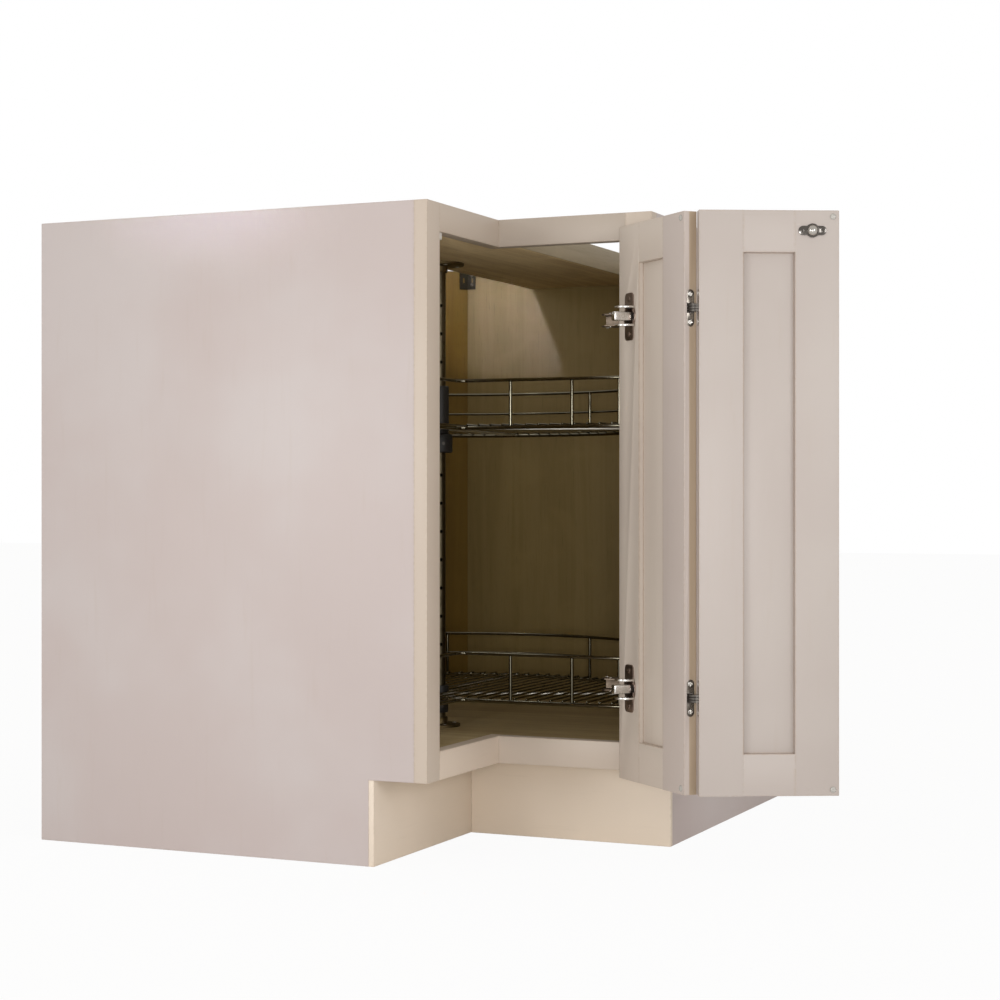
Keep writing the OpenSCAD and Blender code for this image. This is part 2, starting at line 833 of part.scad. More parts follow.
upper_floor();
upper_rim();
upper_posts();
upper_rail();
upper_guard_wire();
lower_hub();
lower_floor();
lower_rim();
lower_posts();
lower_rail();
lower_guard_wire();
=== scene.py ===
"""Corner carousel cabinet with a folding door pair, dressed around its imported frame.

Sizes are in millimetres in each sub-assembly's own design frame; a Place turns them into
metres in the row frame.
"""

import logging
import math
from dataclasses import dataclass, field, replace
from enum import Enum
from typing import Callable, Dict, Iterable, List, Optional, Sequence, Tuple, Union

import bmesh
import bpy
from bmesh.types import BMesh
from mathutils import Matrix, Vector


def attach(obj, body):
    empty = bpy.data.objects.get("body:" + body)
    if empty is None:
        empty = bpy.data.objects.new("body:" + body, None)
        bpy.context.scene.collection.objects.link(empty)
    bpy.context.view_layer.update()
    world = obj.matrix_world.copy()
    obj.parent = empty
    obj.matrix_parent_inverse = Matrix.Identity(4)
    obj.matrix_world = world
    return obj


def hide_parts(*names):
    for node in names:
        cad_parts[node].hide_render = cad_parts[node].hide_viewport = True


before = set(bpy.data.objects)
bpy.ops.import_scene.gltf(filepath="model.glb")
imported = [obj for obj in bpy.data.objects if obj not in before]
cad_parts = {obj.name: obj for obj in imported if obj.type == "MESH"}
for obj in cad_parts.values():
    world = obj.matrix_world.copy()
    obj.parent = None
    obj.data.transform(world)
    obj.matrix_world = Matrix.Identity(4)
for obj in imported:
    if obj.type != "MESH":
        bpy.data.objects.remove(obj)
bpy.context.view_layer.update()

log = logging.getLogger("carousel_cabinet")

MM = 0.001
Triple = Tuple[float, float, float]
SHARP = math.radians(32)
HAIR = 0.12      # radius of the edges where two boards butt, in millimetres
ON_PLANE = 0.05  # how near a plane an edge lies that counts as in it, in millimetres


class Body(Enum):
    """The bodies of the frame that pieces ride on."""

    CABINET = "cabinet"
    LEAF_A = "leaf_a"
    LEAF_B = "leaf_b"
    UPPER_TRAY = "upper_tray"
    LOWER_TRAY = "lower_tray"


class Slot(Enum):
    """The record's material slots."""

    PANEL = "panel_paint"
    FRAME = "frame_paint"
    DOOR = "door_paint"
    TOE = "toe_board"
    INNER = "inner_board"
    DARK = "dark_metal"
    CHROME = "chrome"
    STEEL = "bright_steel"
    HUB = "hub_plastic"
    BUMPER = "bumper_plastic"
    CATCH = "catch_plastic"


class Grain(Enum):
    """The direction that a board's grain runs in, in its design frame."""

    X = (0.06, 1.0, 1.0)
    Y = (1.0, 0.06, 1.0)
    Z = (1.0, 1.0, 0.06)


# ---------------------------------------------------------------- shader sums


def linear(rgb: Sequence[float]) -> Tuple[float, float, float, float]:
    """Turns an 0-255 screen colour into the linear colour that a shader takes.

    Args:
        rgb: red, green and blue from 0 to 255.

    Returns:
        The linear colour with an alpha of 1.
    """
    def one(c: float) -> float:
        """One channel."""
        c /= 255.0
        return c / 12.92 if c <= 0.04045 else ((c + 0.055) / 1.055) ** 2.4

    return (one(rgb[0]), one(rgb[1]), one(rgb[2]), 1.0)


Value = Union["Signal", float, Sequence[float]]
Owner = Union[bpy.types.Material, bpy.types.World]


def sum_of(operation: str, swapped: bool = False) -> Callable[["Signal", Value], "Signal"]:
    """Makes a Signal's method for one operation.

    Args:
        operation: the Math node's operation.
        swapped: whether the other value comes first.

    Returns:
        The method, which adds a Math node for the two values.
    """
    def method(self: "Signal", other: Value) -> "Signal":
        """Adds the node."""
        pair = (other, self) if swapped else (self, other)
        return self.graph.node("ShaderNodeMath", {"operation": operation}, dict(enumerate(pair)))

    return method


class Signal:
    """A shader socket that takes part in sums; each sum adds its Math node."""

    def __init__(self, graph: "Graph", socket: bpy.types.NodeSocket) -> None:
        """Wraps an output socket of a graph."""
        self.graph = graph
        self.socket = socket

    __add__, __radd__ = sum_of("ADD"), sum_of("ADD", True)
    __sub__, __rsub__ = sum_of("SUBTRACT"), sum_of("SUBTRACT", True)
    __mul__, __rmul__ = sum_of("MULTIPLY"), sum_of("MULTIPLY", True)
    lesser, greater = sum_of("MINIMUM"), sum_of("MAXIMUM")

    def __abs__(self) -> "Signal":
        """The distance from 0."""
        return self.graph.node("ShaderNodeMath", {"operation": "ABSOLUTE"}, {0: self})

    def rise(self, low: float, high: float) -> "Signal":
        """A smooth step from 0 at low to 1 at high."""
        return self.graph.node(
            "ShaderNodeMapRange", {"interpolation_type": "SMOOTHSTEP", "clamp": True},
            {"Value": self, "From Min": low, "From Max": high, "To Min": 0.0, "To Max": 1.0})


class Graph:
    """The node tree of one material or world."""

    def __init__(self, owner: Owner) -> None:
        """Empties the owner's node tree."""
        self.owner = owner
        owner.use_nodes = True
        self.tree = owner.node_tree
        self.tree.nodes.clear()

    def node(self, kind: str, settings: Optional[Dict[str, object]] = None,
             inputs: Optional[Dict[Union[str, int], Value]] = None,
             out: Union[str, int] = 0) -> Signal:
        """Adds one node.

        Args:
            kind: the node's type name.
            settings: its own settings, set before its sockets; "stops" fills a colour ramp.
            inputs: numbers, colours or signals for its sockets, by name or number.
            out: the output socket that is returned.

        Returns:
            The signal of that output.
        """
        made = self.tree.nodes.new(kind)
        for key, value in (settings or {}).items():
            if key == "stops":
                self._stops(made.color_ramp, value)
            else:
                setattr(made, key, value)
        for key, value in (inputs or {}).items():
            socket = made.inputs[key]
            if isinstance(value, Signal):
                self.tree.links.new(value.socket, socket)
            else:
                socket.default_value = value
        return Signal(self, made.outputs[out])

    def _stops(self, ramp: bpy.types.ColorRamp, stops: Sequence[Tuple[float, Sequence[float]]]) -> None:
        """Fills a colour ramp with (place, colour) stops."""
        while len(ramp.elements) < len(stops):
            ramp.elements.new(0.5)
        for element, (place, colour) in zip(ramp.elements, stops):
            element.position = place
            element.color = colour

    def outputs(self, made: Signal, keys: Iterable[Union[str, int]]) -> List[Signal]:
        """Several outputs of the node that a signal comes from."""
        return [Signal(self, made.socket.node.outputs[key]) for key in keys]

    def axes(self, at: Signal) -> List[Signal]:
        """The three parts of some coordinates."""
        return self.outputs(self.node("ShaderNodeSeparateXYZ", {}, {0: at}), range(3))

    def tint(self, a: Value, b: Value, mask: Value) -> Signal:
        """The colour a where the mask is 0 and b where it is 1."""
        return self.node("ShaderNodeMix", {"data_type": "RGBA", "blend_type": "MIX", "clamp_factor": True},
                         {0: mask, 6: a, 7: b}, 2)

    def noise(self, at: Signal, scale: float, detail: float = 2.0, rough: float = 0.5,
              distort: float = 0.0) -> Signal:
        """A noise value of about 0.5, with its scale in waves per metre and its detail in octaves."""
        return self.node("ShaderNodeTexNoise", {"noise_dimensions": "3D"},
                         {"Vector": at, "Scale": scale, "Detail": detail, "Roughness": rough,
                          "Distortion": distort})

    def bump(self, height: Signal, strength: float, distance: float,
             under: Optional[Signal] = None) -> Signal:
        """A bumped normal.

        Args:
            height: the height signal from 0 to 1.
            strength: the share of the bump that shows.
            distance: the height of 1, in metres.
            under: a normal that it lies on.

        Returns:
            The normal.
        """
        sockets = {"Height": height, "Strength": strength, "Distance": distance}
        if under is not None:
            sockets["Normal"] = under
        return self.node("ShaderNodeBump", {}, sockets)

    def close(self, shader: Signal, kind: str = "ShaderNodeOutputMaterial") -> Owner:
        """Links the shader to an output node and returns the owner."""
        self.tree.links.new(shader.socket, self.tree.nodes.new(kind).inputs["Surface"])
        return self.owner


@dataclass(frozen=True)
class Spot:
    """Where a piece's pattern lies: its design frame, its box there and its grain.

    Attributes:
        place: the design frame's matrix, metres in the row frame.
        low: lowest corner of the piece in the design frame, in metres.
        high: highest corner.
        grain: the way the grain runs.
    """

    place: Matrix
    low: Vector
    high: Vector
    grain: Grain = Grain.Z

    def coordinates(self, graph: Graph) -> Signal:
        """The design frame's coordinates, in metres."""
        back = self.place.inverted()
        mirrored = back.to_3x3().determinant() < 0
        turn = math.atan2(back[1][0], back[0][0])
        at = graph.node("ShaderNodeTexCoord", {}, {}, "Object")
        return graph.node("ShaderNodeMapping", {"vector_type": "POINT"},
                          {"Vector": at, "Location": tuple(back.translation), "Rotation": (0.0, 0.0, turn),
                           "Scale": (1.0, -1.0 if mirrored else 1.0, 1.0)})

    def along_grain(self, graph: Graph, at: Signal) -> Signal:
        """The coordinates pressed together along the grain, so that a pattern stretches there."""
        return graph.node("ShaderNodeMapping", {"vector_type": "POINT"},
                          {"Vector": at, "Scale": self.grain.value})

    def edge_distance(self, graph: Graph, at: Signal) -> Signal:
        """The distance to the nearest edge of the piece's box, on its surface, in metres."""
        a, b, c = ((value - self.low[k]).lesser(self.high[k] - value)
                   for k, value in enumerate(graph.axes(at)))
        return a.lesser(b).greater(a.greater(b).lesser(c))


# -------------------------------------------------------------------- finishes


@dataclass(frozen=True)
class Finish:
    """A surface finish; each kind shades itself."""

    name: str

    def shade(self, graph: Graph, spot: Spot, at: Signal) -> Signal:
        """Builds the finish's shader.

        Args:
            graph: the material's graph.
            spot: where the piece's pattern lies.
            at: the design coordinates.

        Returns:
            The shader's signal.
        """
        raise NotImplementedError

    def material(self, spot: Spot, piece: str) -> bpy.types.Material:
        """Makes the finish's material for one piece, named after both."""
        graph = Graph(bpy.data.materials.new(f"{self.name}.{piece}"))
        return graph.close(self.shade(graph, spot, spot.coordinates(graph)))


@dataclass(frozen=True)
class Paint(Finish):
    """Sprayed satin paint over close-grained wood.

    Attributes:
        colour: the paint, 0-255.
        glow: the tint that slow clouds in the coat lean to, 0-255.
        worn: the tint along rubbed edges, 0-255.
        wear: how much of it shows.
        rough: roughness of the coat.
        grain_depth: depth of the grain that telegraphs through, in metres.
    """

    colour: Triple = (206, 194, 187)
    glow: Triple = (214, 200, 194)
    worn: Triple = (176, 156, 134)
    wear: float = 0.55
    rough: float = 0.46
    grain_depth: float = 0.00010

    def painted_light_copy(self, share: float) -> "Paint":
        """The same paint made lighter or darker by a share: painted light and shade for one board."""
        return replace(self, colour=tuple(c * share for c in self.colour),
                       glow=tuple(c * share for c in self.glow))

    def coat(self, graph: Graph, spot: Spot, at: Signal, colour: Signal) -> Signal:
        """What lies over the paint's colour; plain paint has nothing."""
        return colour

    def shade(self, graph: Graph, spot: Spot, at: Signal) -> Signal:
        """Builds the paint's shader; see Finish.shade."""
        clouds = graph.noise(at, 3.2, 3.0, 0.55)
        drawn = spot.along_grain(graph, at)
        streaks = graph.noise(drawn, 120.0, 4.0, 0.6, 0.4)
        peel = graph.noise(at, 620.0, 2.0, 0.5)
        specks = graph.noise(at, 150.0, 5.0, 0.7)
        colour = graph.tint(linear(self.colour), linear(self.glow), clouds.rise(0.38, 0.66))
        colour = graph.tint(colour, linear(self.worn), streaks.rise(0.56, 0.80) * 0.10)
        near = 1.0 - spot.edge_distance(graph, at).rise(0.0004, 0.0030)
        rub = near * specks.rise(0.40, 0.62) * self.wear
        colour = self.coat(graph, spot, at, graph.tint(colour, linear(self.worn), rub))
        rough = self.rough + (clouds - 0.5) * 0.10 + (peel - 0.5) * 0.08 + rub * 0.12
        normal = graph.bump(streaks, 0.35, self.grain_depth)
        normal = graph.bump(peel, 0.30, 0.00006, normal)
        return graph.node("ShaderNodeBsdfPrincipled", {},
                          {"Base Color": colour, "Roughness": rough, "Normal": normal,
                           "IOR": 1.48, "Coat Weight": 0.06, "Coat Roughness": 0.30})


@dataclass(frozen=True)
class LeafPaint(Paint):
    """Paint with a fine dark line in the corners and along the edges round a leaf's centre panel: the panel's
    gap, deepened with painted shade.

    Attributes:
        line: the line's tint, the gap and painted shade in one, 0-255.
        half: half of its width, in metres.
    """

    line: Triple = (158, 130, 104)
    half: float = 0.0006

    def coat(self, graph: Graph, spot: Spot, at: Signal, colour: Signal) -> Signal:
        """Draws the line round the panel; see Paint.coat."""
        across, depth, up = graph.axes(at)
        middle, wide, centre, high = PLAN.recess
        away = (abs(across - middle) - wide).greater(abs(up - centre) - high)
        front, *others = PLAN.leaf_faces
        level = abs(depth - front)
        for place in others:
            level = level.lesser(abs(depth - place))
        # The dark line round the panel: its gap, with painted shade in the corners.
        mask = (1.0 - abs(away).rise(self.half * 0.7, self.half * 1.3)) \
            * (1.0 - level.rise(self.half * 0.7, self.half * 1.3))
        return graph.tint(colour, linear(self.line), mask * 0.50)


@dataclass(frozen=True)
class BareEdgeAndShadePaint(LeafPaint):
    """Leaf paint with a tan strip along the front half of the fold edge: bare wood and painted shade from the
    other leaf in one.

    Attributes:
        bare: the strip's tint, bare wood and painted shade in one, 0-255.
        reach: how far from the leaf's front it shows, in metres.
        deep: how far round the edge it shows, in metres.
    """

    bare: Triple = (172, 152, 127)
    reach: float = 0.0115
    deep: float = 0.0008

    def coat(self, graph: Graph, spot: Spot, at: Signal, colour: Signal) -> Signal:
        """Paints the tan strip on the fold edge, bare wood and painted shade in one; see Paint.coat."""
        colour = super().coat(graph, spot, at, colour)
        across, depth, _ = graph.axes(at)
        from_edge, from_front = across - spot.low[0], depth - spot.low[1]
        # The tan strip near the other leaf: bare wood, with painted shade where that leaf shades the groove.
        thin = (1.0 - from_edge.rise(self.deep * 0.5, self.deep)) \
            * (1.0 - from_front.rise(self.reach - 0.001, self.reach + 0.001))
        return graph.tint(colour, linear(self.bare), thin * 0.9)


@dataclass(frozen=True)
class Maple(Finish):
    """Clear-lacquered maple board with fine pores and wandering figure.

    Attributes:
        light: the pale wood, 0-255.
        dark: the late wood and the shadow of the figure, 0-255.
        rough: roughness of the lacquer.
    """

    light: Triple = (196, 170, 136)
    dark: Triple = (165, 135, 99)
    rough: float = 0.50

    def shade(self, graph: Graph, spot: Spot, at: Signal) -> Signal:
        """Builds the board's shader; see Finish.shade."""
        drawn = spot.along_grain(graph, at)
        bend = graph.noise(drawn, 9.0, 3.0, 0.55, 0.8)
        figure = graph.noise(drawn, 34.0, 5.0, 0.62, 1.6)
        pores = graph.noise(drawn, 420.0, 3.0, 0.7)
        flame = graph.noise(at, 14.0, 2.0, 0.5, 0.6)
        colour = graph.tint(linear(self.light), linear(self.dark), figure.rise(0.36, 0.70) * 0.75)
        colour = graph.tint(colour, linear(self.dark), bend.rise(0.50, 0.74) * 0.45)
        colour = graph.tint(colour, linear(tuple(c * 0.62 for c in self.dark)), pores.rise(0.58, 0.74) * 0.35)
        colour = graph.tint(colour, linear(tuple(min(255.0, c * 1.07) for c in self.light)),
                            flame.rise(0.52, 0.70) * 0.30)
        rough = self.rough + (pores - 0.5) * 0.16 + (bend - 0.5) * 0.08
        normal = graph.bump(pores, 0.35, 0.00012)
        return graph.node("ShaderNodeBsdfPrincipled", {},
                          {"Base Color": colour, "Roughness": rough, "Normal": normal, "IOR": 1.46})


@dataclass(frozen=True)
class FacedBoard(Finish):
    """A board with one finish on its last face along an axis and another on the rest.

    Attributes:
        outside: the finish of the rest.
        inside: the finish of the last face.
        axis: the design axis across the board, 0 to 2.
        outer_low: whether the last face is the higher one on that axis.
    """

    outside: Finish = Paint("outer_paint")
    inside: Finish = Maple("inner_maple")
    axis: int = 1
    outer_low: bool = True

    def shade(self, graph: Graph, spot: Spot, at: Signal) -> Signal:
        """Builds both faces' shaders and parts them; see Finish.shade."""
        value = graph.axes(at)[self.axis]
        depth = (value - spot.low[self.axis]) if self.outer_low else (spot.high[self.axis] - value)
        thick = spot.high[self.axis] - spot.low[self.axis]
        mask = depth.rise(thick - 0.0012, thick - 0.0006)
        return graph.node("ShaderNodeMixShader", {},
                          {0: mask, 1: self.outside.shade(graph, spot, at),
                           2: self.inside.shade(graph, spot, at)})


@dataclass(frozen=True)
class Metal(Finish):
    """Plated or bare metal with fine scratches and a little tarnish.

    Attributes:
        colour: the metal, 0-255.
        tarnish: the tint of dull patches, 0-255.
        rough: roughness of the plating.
        spread: how much the roughness varies.
        scratch: strength of the fine scratches.
        share: how much tarnish shows.
    """

    colour: Triple = (222, 222, 224)
    tarnish: Triple = (150, 146, 140)
    rough: float = 0.10
    spread: float = 0.12
    scratch: float = 0.10
    share: float = 0.35

    def shade(self, graph: Graph, spot: Spot, at: Signal) -> Signal:
        """Builds the metal's shader; see Finish.shade."""
        dull = graph.noise(at, 55.0, 4.0, 0.62)
        fine = graph.noise(spot.along_grain(graph, at), 1400.0, 2.0, 0.6)
        specks = graph.noise(at, 900.0, 3.0, 0.7)
        mask = dull.rise(0.50, 0.72) * self.share + specks.rise(0.64, 0.74) * 0.25 * self.share
        colour = graph.tint(linear(self.colour), linear(self.tarnish), mask)
        rough = self.rough + dull * self.spread + (fine - 0.5) * self.spread
        normal = graph.bump(fine, self.scratch, 0.00004)
        return graph.node("ShaderNodeBsdfPrincipled", {},
                          {"Base Color": colour, "Metallic": 1.0, "Roughness": rough, "Normal": normal})


@dataclass(frozen=True)
class Plastic(Finish):
    """Moulded plastic with a fine spark-eroded grain.

    Attributes:
        colour: the plastic, 0-255.
        rubbed: the tint on rubbed high spots, 0-255.
        rough: roughness.
        depth: depth of the moulded grain, in metres.
        clear: share of light that passes through.
    """

    colour: Triple = (38, 37, 36)
    rubbed: Triple = (74, 72, 70)
    rough: float = 0.45
    depth: float = 0.00008
    clear: float = 0.0

    def shade(self, graph: Graph, spot: Spot, at: Signal) -> Signal:
        """Builds the plastic's shader; see Finish.shade."""
        grain = graph.noise(at, 1500.0, 2.0, 0.5)
        clouds = graph.noise(at, 60.0, 3.0, 0.5)
        near = 1.0 - spot.edge_distance(graph, at).rise(0.0003, 0.0020)
        mask = near * clouds.rise(0.40, 0.60) * 0.6 + clouds.rise(0.5, 0.8) * 0.25
        colour = graph.tint(linear(self.colour), linear(self.rubbed), mask)
        rough = self.rough + (grain - 0.5) * 0.2 + (clouds - 0.5) * 0.1
        normal = graph.bump(grain, 0.35, self.depth)
        return graph.node("ShaderNodeBsdfPrincipled", {},
                          {"Base Color": colour, "Roughness": rough, "Normal": normal,
                           "Transmission Weight": self.clear, "IOR": 1.47})


# ----------------------------------------------------------------- placing


def upright_turn(degrees: float) -> Matrix:
    """A turn about Z."""
    return Matrix.Rotation(math.radians(degrees), 4, "Z")


@dataclass(frozen=True)
class Layout:
    """The sizes that place the sub-assemblies, in millimetres, as the frame has them."""

    side_depth: float = 610.0
    face_width: float = 228.0
    height: float = 876.0
    back_t: float = 12.0
    back_clip: float = 280.0
    deck_top: float = 140.0
    toe_recess: float = 78.0
    toe_t: float = 8.0
    frame_t: float = 19.0
    frame_w: float = 38.0
    board_t: float = 35.0
    leaf_w: float = 180.0
    leaf_h: float = 748.0
    leaf_bottom: float = 106.0
    leaf_t: float = 19.0
    door_gap: float = 2.5
    leaf_stile: float = 57.0
    leaf_rail: float = 54.0
    centre_t: float = 6.0
    open_angle: float = 138.0
    unfold_angle: float = 21.5
    axis_inset: float = 4.6
    hinge_offset: float = 250.0
    pole_inset: float = 178.0
    upper_tray: float = 589.0
    lower_tray: float = 188.0

    @property
    def corner(self) -> float:
        """The origin's distance behind the fronts."""
        return self.toe_recess + self.toe_t / 2

    @property
    def fold(self) -> float:
        """The fold line's distance from the inner corner with the doors closed."""
        return self.door_gap + self.leaf_t

    @property
    def swing(self) -> Vector:
        """The swing axis in the cabinet's design frame."""
        return Vector((self.fold + self.leaf_w - self.axis_inset, -self.door_gap - self.leaf_t / 2, 0))

    @property
    def recess(self) -> Tuple[float, float, float, float]:
        """The middle and half size of a leaf's opening, across and then up, in metres."""
        across, up = self.leaf_w / 2, self.leaf_h / 2
        sizes = (across, across - self.leaf_stile, self.leaf_bottom + up, up - self.leaf_rail)
        return tuple(size * MM for size in sizes)

    @property
    def leaf_faces(self) -> Tuple[float, ...]:
        """The depths of the faces of a leaf and its centre panel from the leaf's front, in metres."""
        front = (self.leaf_t - self.centre_t) / 2
        return tuple(depth * MM for depth in (0.0, front, front + self.centre_t, self.leaf_t))

    @property
    def hinge_heights(self) -> Tuple[float, float]:
        """The hinges' heights."""
        middle = self.leaf_bottom + self.leaf_h / 2
        return (middle - self.hinge_offset, middle + self.hinge_offset)

    @staticmethod
    def about(centre: Vector, degrees: float) -> Matrix:
        """A turn about the vertical line through a point."""
        return Matrix.Translation(centre) @ upright_turn(degrees) @ Matrix.Translation(-centre)

    @staticmethod
    def outwards(distance: float) -> Vector:
        """The point that far out of the inner corner of the fronts, along both walls' lines."""
        return Vector((distance, -distance, 0))

    def to_row(self, placing: Matrix) -> Matrix:
        """A placing about the inner corner of the fronts, in metres in the row frame."""
        made = Matrix.Translation(self.outwards(self.corner)) @ placing
        made.translation = made.translation * MM
        return made

    def cabinet(self) -> Matrix:
        """From the inner corner of the fronts to the row frame."""
        return self.to_row(Matrix.Identity(4))

    def pole(self) -> Matrix:
        """From the pole's axis to the row frame."""
        return self.to_row(Matrix.Translation(self.outwards(-self.pole_inset)))

    def leaf_a(self) -> Matrix:
        """From leaf A's own frame to the row frame."""
        fold = self.outwards(self.fold)
        return self.to_row(self.about(self.swing, self.open_angle) @ Matrix.Translation(fold))

    def leaf_b(self) -> Matrix:
        """From leaf B's own frame, which is mirrored, to the row frame."""
        fold = self.outwards(self.fold)
        swap = Matrix(((0, -1, 0, 0), (-1, 0, 0, 0), (0, 0, 1, 0), (0, 0, 0, 1)))
        opened = self.about(self.swing, self.open_angle) @ self.about(fold, -self.unfold_angle)
        return self.to_row(opened @ swap @ Matrix.Translation(fold))


PLAN = Layout()


class Bench:
    """Shapes for new pieces, made with bmesh operators in millimetres."""

    @staticmethod
    def block(low: Triple, high: Triple, ease: float = 0.0, steps: int = 2) -> BMesh:
        """A box with eased edges.

        Args:
            low: lowest corner.
            high: highest corner.
            ease: radius of the edges.
            steps: segments of the rounding.

        Returns:
            The mesh.
        """
        bm = bmesh.new()
        bmesh.ops.create_cube(bm, size=1.0)
        span = Vector(high) - Vector(low)
        bmesh.ops.scale(bm, vec=span, verts=bm.verts)
        bmesh.ops.translate(bm, vec=Vector(low) + span / 2, verts=bm.verts)
        if ease > 0:
            Bench.ease(bm, bm.edges[:], ease, steps)
        return bm

    @staticmethod
    def ease(bm: BMesh, edges: Sequence[bmesh.types.BMEdge], radius: float, steps: int = 2) -> None:
        """Rounds edges."""
        bmesh.ops.bevel(bm, geom=list(edges), offset=radius, offset_type="OFFSET", segments=steps,
                        profile=0.5, affect="EDGES", material=-1, clamp_overlap=True)

    @staticmethod
    def sharp_edges(bm: BMesh, angle: float = SHARP) -> List[bmesh.types.BMEdge]:
        """The edges whose faces meet at more than an angle."""
        return [e for e in bm.edges if len(e.link_faces) == 2 and e.calc_face_angle(0.0) > angle]

    @staticmethod
    def turned(profile: Sequence[Tuple[float, float]], steps: int = 48) -> BMesh:
        """A shape turned about Z.

        Args:
            profile: (radius, height) points, one after another.
            steps: segments of the full turn.

        Returns:
            The mesh, closed if the profile starts and ends on the axis or on itself.
        """
        bm = bmesh.new()
        verts = [bm.verts.new((r, 0.0, z)) for r, z in profile]
        edges = [bm.edges.new((a, b)) for a, b in zip(verts, verts[1:])]
        bmesh.ops.spin(bm, geom=verts + edges, cent=(0, 0, 0), axis=(0, 0, 1), dvec=(0, 0, 0),
                       angle=math.tau, steps=steps, use_merge=True, use_duplicate=False)
        bmesh.ops.remove_doubles(bm, verts=bm.verts, dist=1e-4)
        bmesh.ops.recalc_face_normals(bm, faces=bm.faces)
        return bm

    @staticmethod
    def rod(start: Triple, end: Triple, radius: float, sides: int = 12, ease: float = 0.0) -> BMesh:
        """A round bar between two points.

        Args:
            start: centre of one end.
            end: centre of the other.
            radius: the bar's radius.
            sides: its sides.
            ease: radius of the end edges.

        Returns:
            The mesh.
        """
        a, b = Vector(start), Vector(end)
        bm = bmesh.new()
        bmesh.ops.create_cone(bm, cap_ends=True, segments=sides, radius1=radius, radius2=radius,
                              depth=(b - a).length)
        if ease > 0:
            Bench.ease(bm, [e for e in bm.edges if any(len(f.verts) > 4 for f in e.link_faces)], ease)
        turn = (b - a).to_track_quat("Z", "Y").to_matrix().to_4x4()
        bmesh.ops.transform(bm, matrix=Matrix.Translation((a + b) / 2) @ turn, verts=bm.verts)
        return bm

    @staticmethod
    def plate(size: Tuple[float, float, float], corner: float, ease: float = 0.3, steps: int = 8) -> BMesh:
        """A flat plate with rounded corners, its back on z = 0.

        Args:
            size: width on X, length on Y, thickness on Z.
            corner: radius of the corners.
            ease: radius of the front edge.
            steps: segments of a corner.

        Returns:
            The mesh.
        """
        w, l, t = size
        bm = Bench.block((-w / 2, -l / 2, 0), (w / 2, l / 2, t))
        upright = [e for e in bm.edges if abs(e.verts[0].co.z - e.verts[1].co.z) > t / 2]
        Bench.ease(bm, upright, min(corner, w / 2 - 0.01, l / 2 - 0.01), steps)
        if ease > 0:
            rim = [e for e in bm.edges if all(v.co.z > t - 1e-4 for v in e.verts)
                   and len(e.link_faces) == 2 and e.calc_face_angle(0.0) > SHARP]
            Bench.ease(bm, rim, ease, 2)
        return bm

    @staticmethod
    def set_on(at: Triple, across: Triple, up: Triple) -> Matrix:
        """The matrix that lays a shape's X along one direction and its Y along another.

        Args:
            at: where its origin goes.
            across: the direction of its X.
            up: the direction of its Y; its Z is square to both.

        Returns:
            The matrix.
        """
        x, y = Vector(across).normalized(), Vector(up).normalized()
        turn = Matrix((x, y, x.cross(y))).transposed().to_4x4()
        return Matrix.Translation(at) @ turn

    @staticmethod
    def on_back(u: float, v: float, z: float) -> Matrix:
        """The matrix of a shape that faces out of a leaf's back."""
        return Bench.set_on((u, v, z), (-1, 0, 0), (0, 0, 1))

    @staticmethod
    def on_end(u: float, v: float, z: float) -> Matrix:
        """The matrix of a shape that faces -X with its height upright, out of an edge or a stile's side."""
        return Bench.set_on((u, v, z), (0, -1, 0), (0, 0, 1))

    @staticmethod
    def join(parts: Iterable[BMesh]) -> BMesh:
        """Puts several meshes into one and frees them."""
        whole = bmesh.new()
        for part in parts:
            scratch = bpy.data.meshes.new("scratch")
            part.to_mesh(scratch)
            part.free()
            whole.from_mesh(scratch)
            bpy.data.meshes.remove(scratch)
        return whole

    @staticmethod
    def moved(bm: BMesh, matrix: Matrix) -> BMesh:
        """Transforms a mesh in place and returns it."""
        bmesh.ops.transform(bm, matrix=matrix, verts=bm.verts)
        if matrix.to_3x3().determinant() < 0:
            bmesh.ops.reverse_faces(bm, faces=bm.faces)
        return bm

    @staticmethod
    def repeated(bm: BMesh, places: Iterable[Matrix]) -> BMesh:
        """Copies of a mesh at several places, as one mesh; the first is freed."""
        whole = Bench.join([Bench.moved(bm.copy(), place) for place in places])
        bm.free()
        return whole

    @staticmethod
    def carved(bm: BMesh, cutters: Sequence[BMesh]) -> BMesh:
        """Cuts other closed meshes out of a mesh.

        Args:
            bm: the mesh that is cut; it is freed.
            cutters: the shapes that are taken away; they are freed.

        Returns:
            The cut mesh.
        """
        target = Bench.object_of(bm, "carved_target")
        tools = [Bench.object_of(c, "carved_tool") for c in cutters]
        for tool in tools:
            cut = target.modifiers.new("cut", "BOOLEAN")
            cut.operation, cut.solver, cut.object = "DIFFERENCE", "EXACT", tool
        graph = bpy.context.evaluated_depsgraph_get()
        result = bpy.data.meshes.new_from_object(target.evaluated_get(graph))
        made = bmesh.new()
        made.from_mesh(result)
        bpy.data.meshes.remove(result)
        for o in [target, *tools]:
            data = o.data
            bpy.data.objects.remove(o)
            bpy.data.meshes.remove(data)
        bmesh.ops.remove_doubles(made, verts=made.verts, dist=1e-4)
        return made

    @staticmethod
    def object_of(bm: BMesh, name: str) -> bpy.types.Object:
        """An object that holds a mesh, which is freed."""
        data = bpy.data.meshes.new(name)
        bm.to_mesh(data)
        bm.free()
        o = bpy.data.objects.new(name, data)
        bpy.context.scene.collection.objects.link(o)
        return o

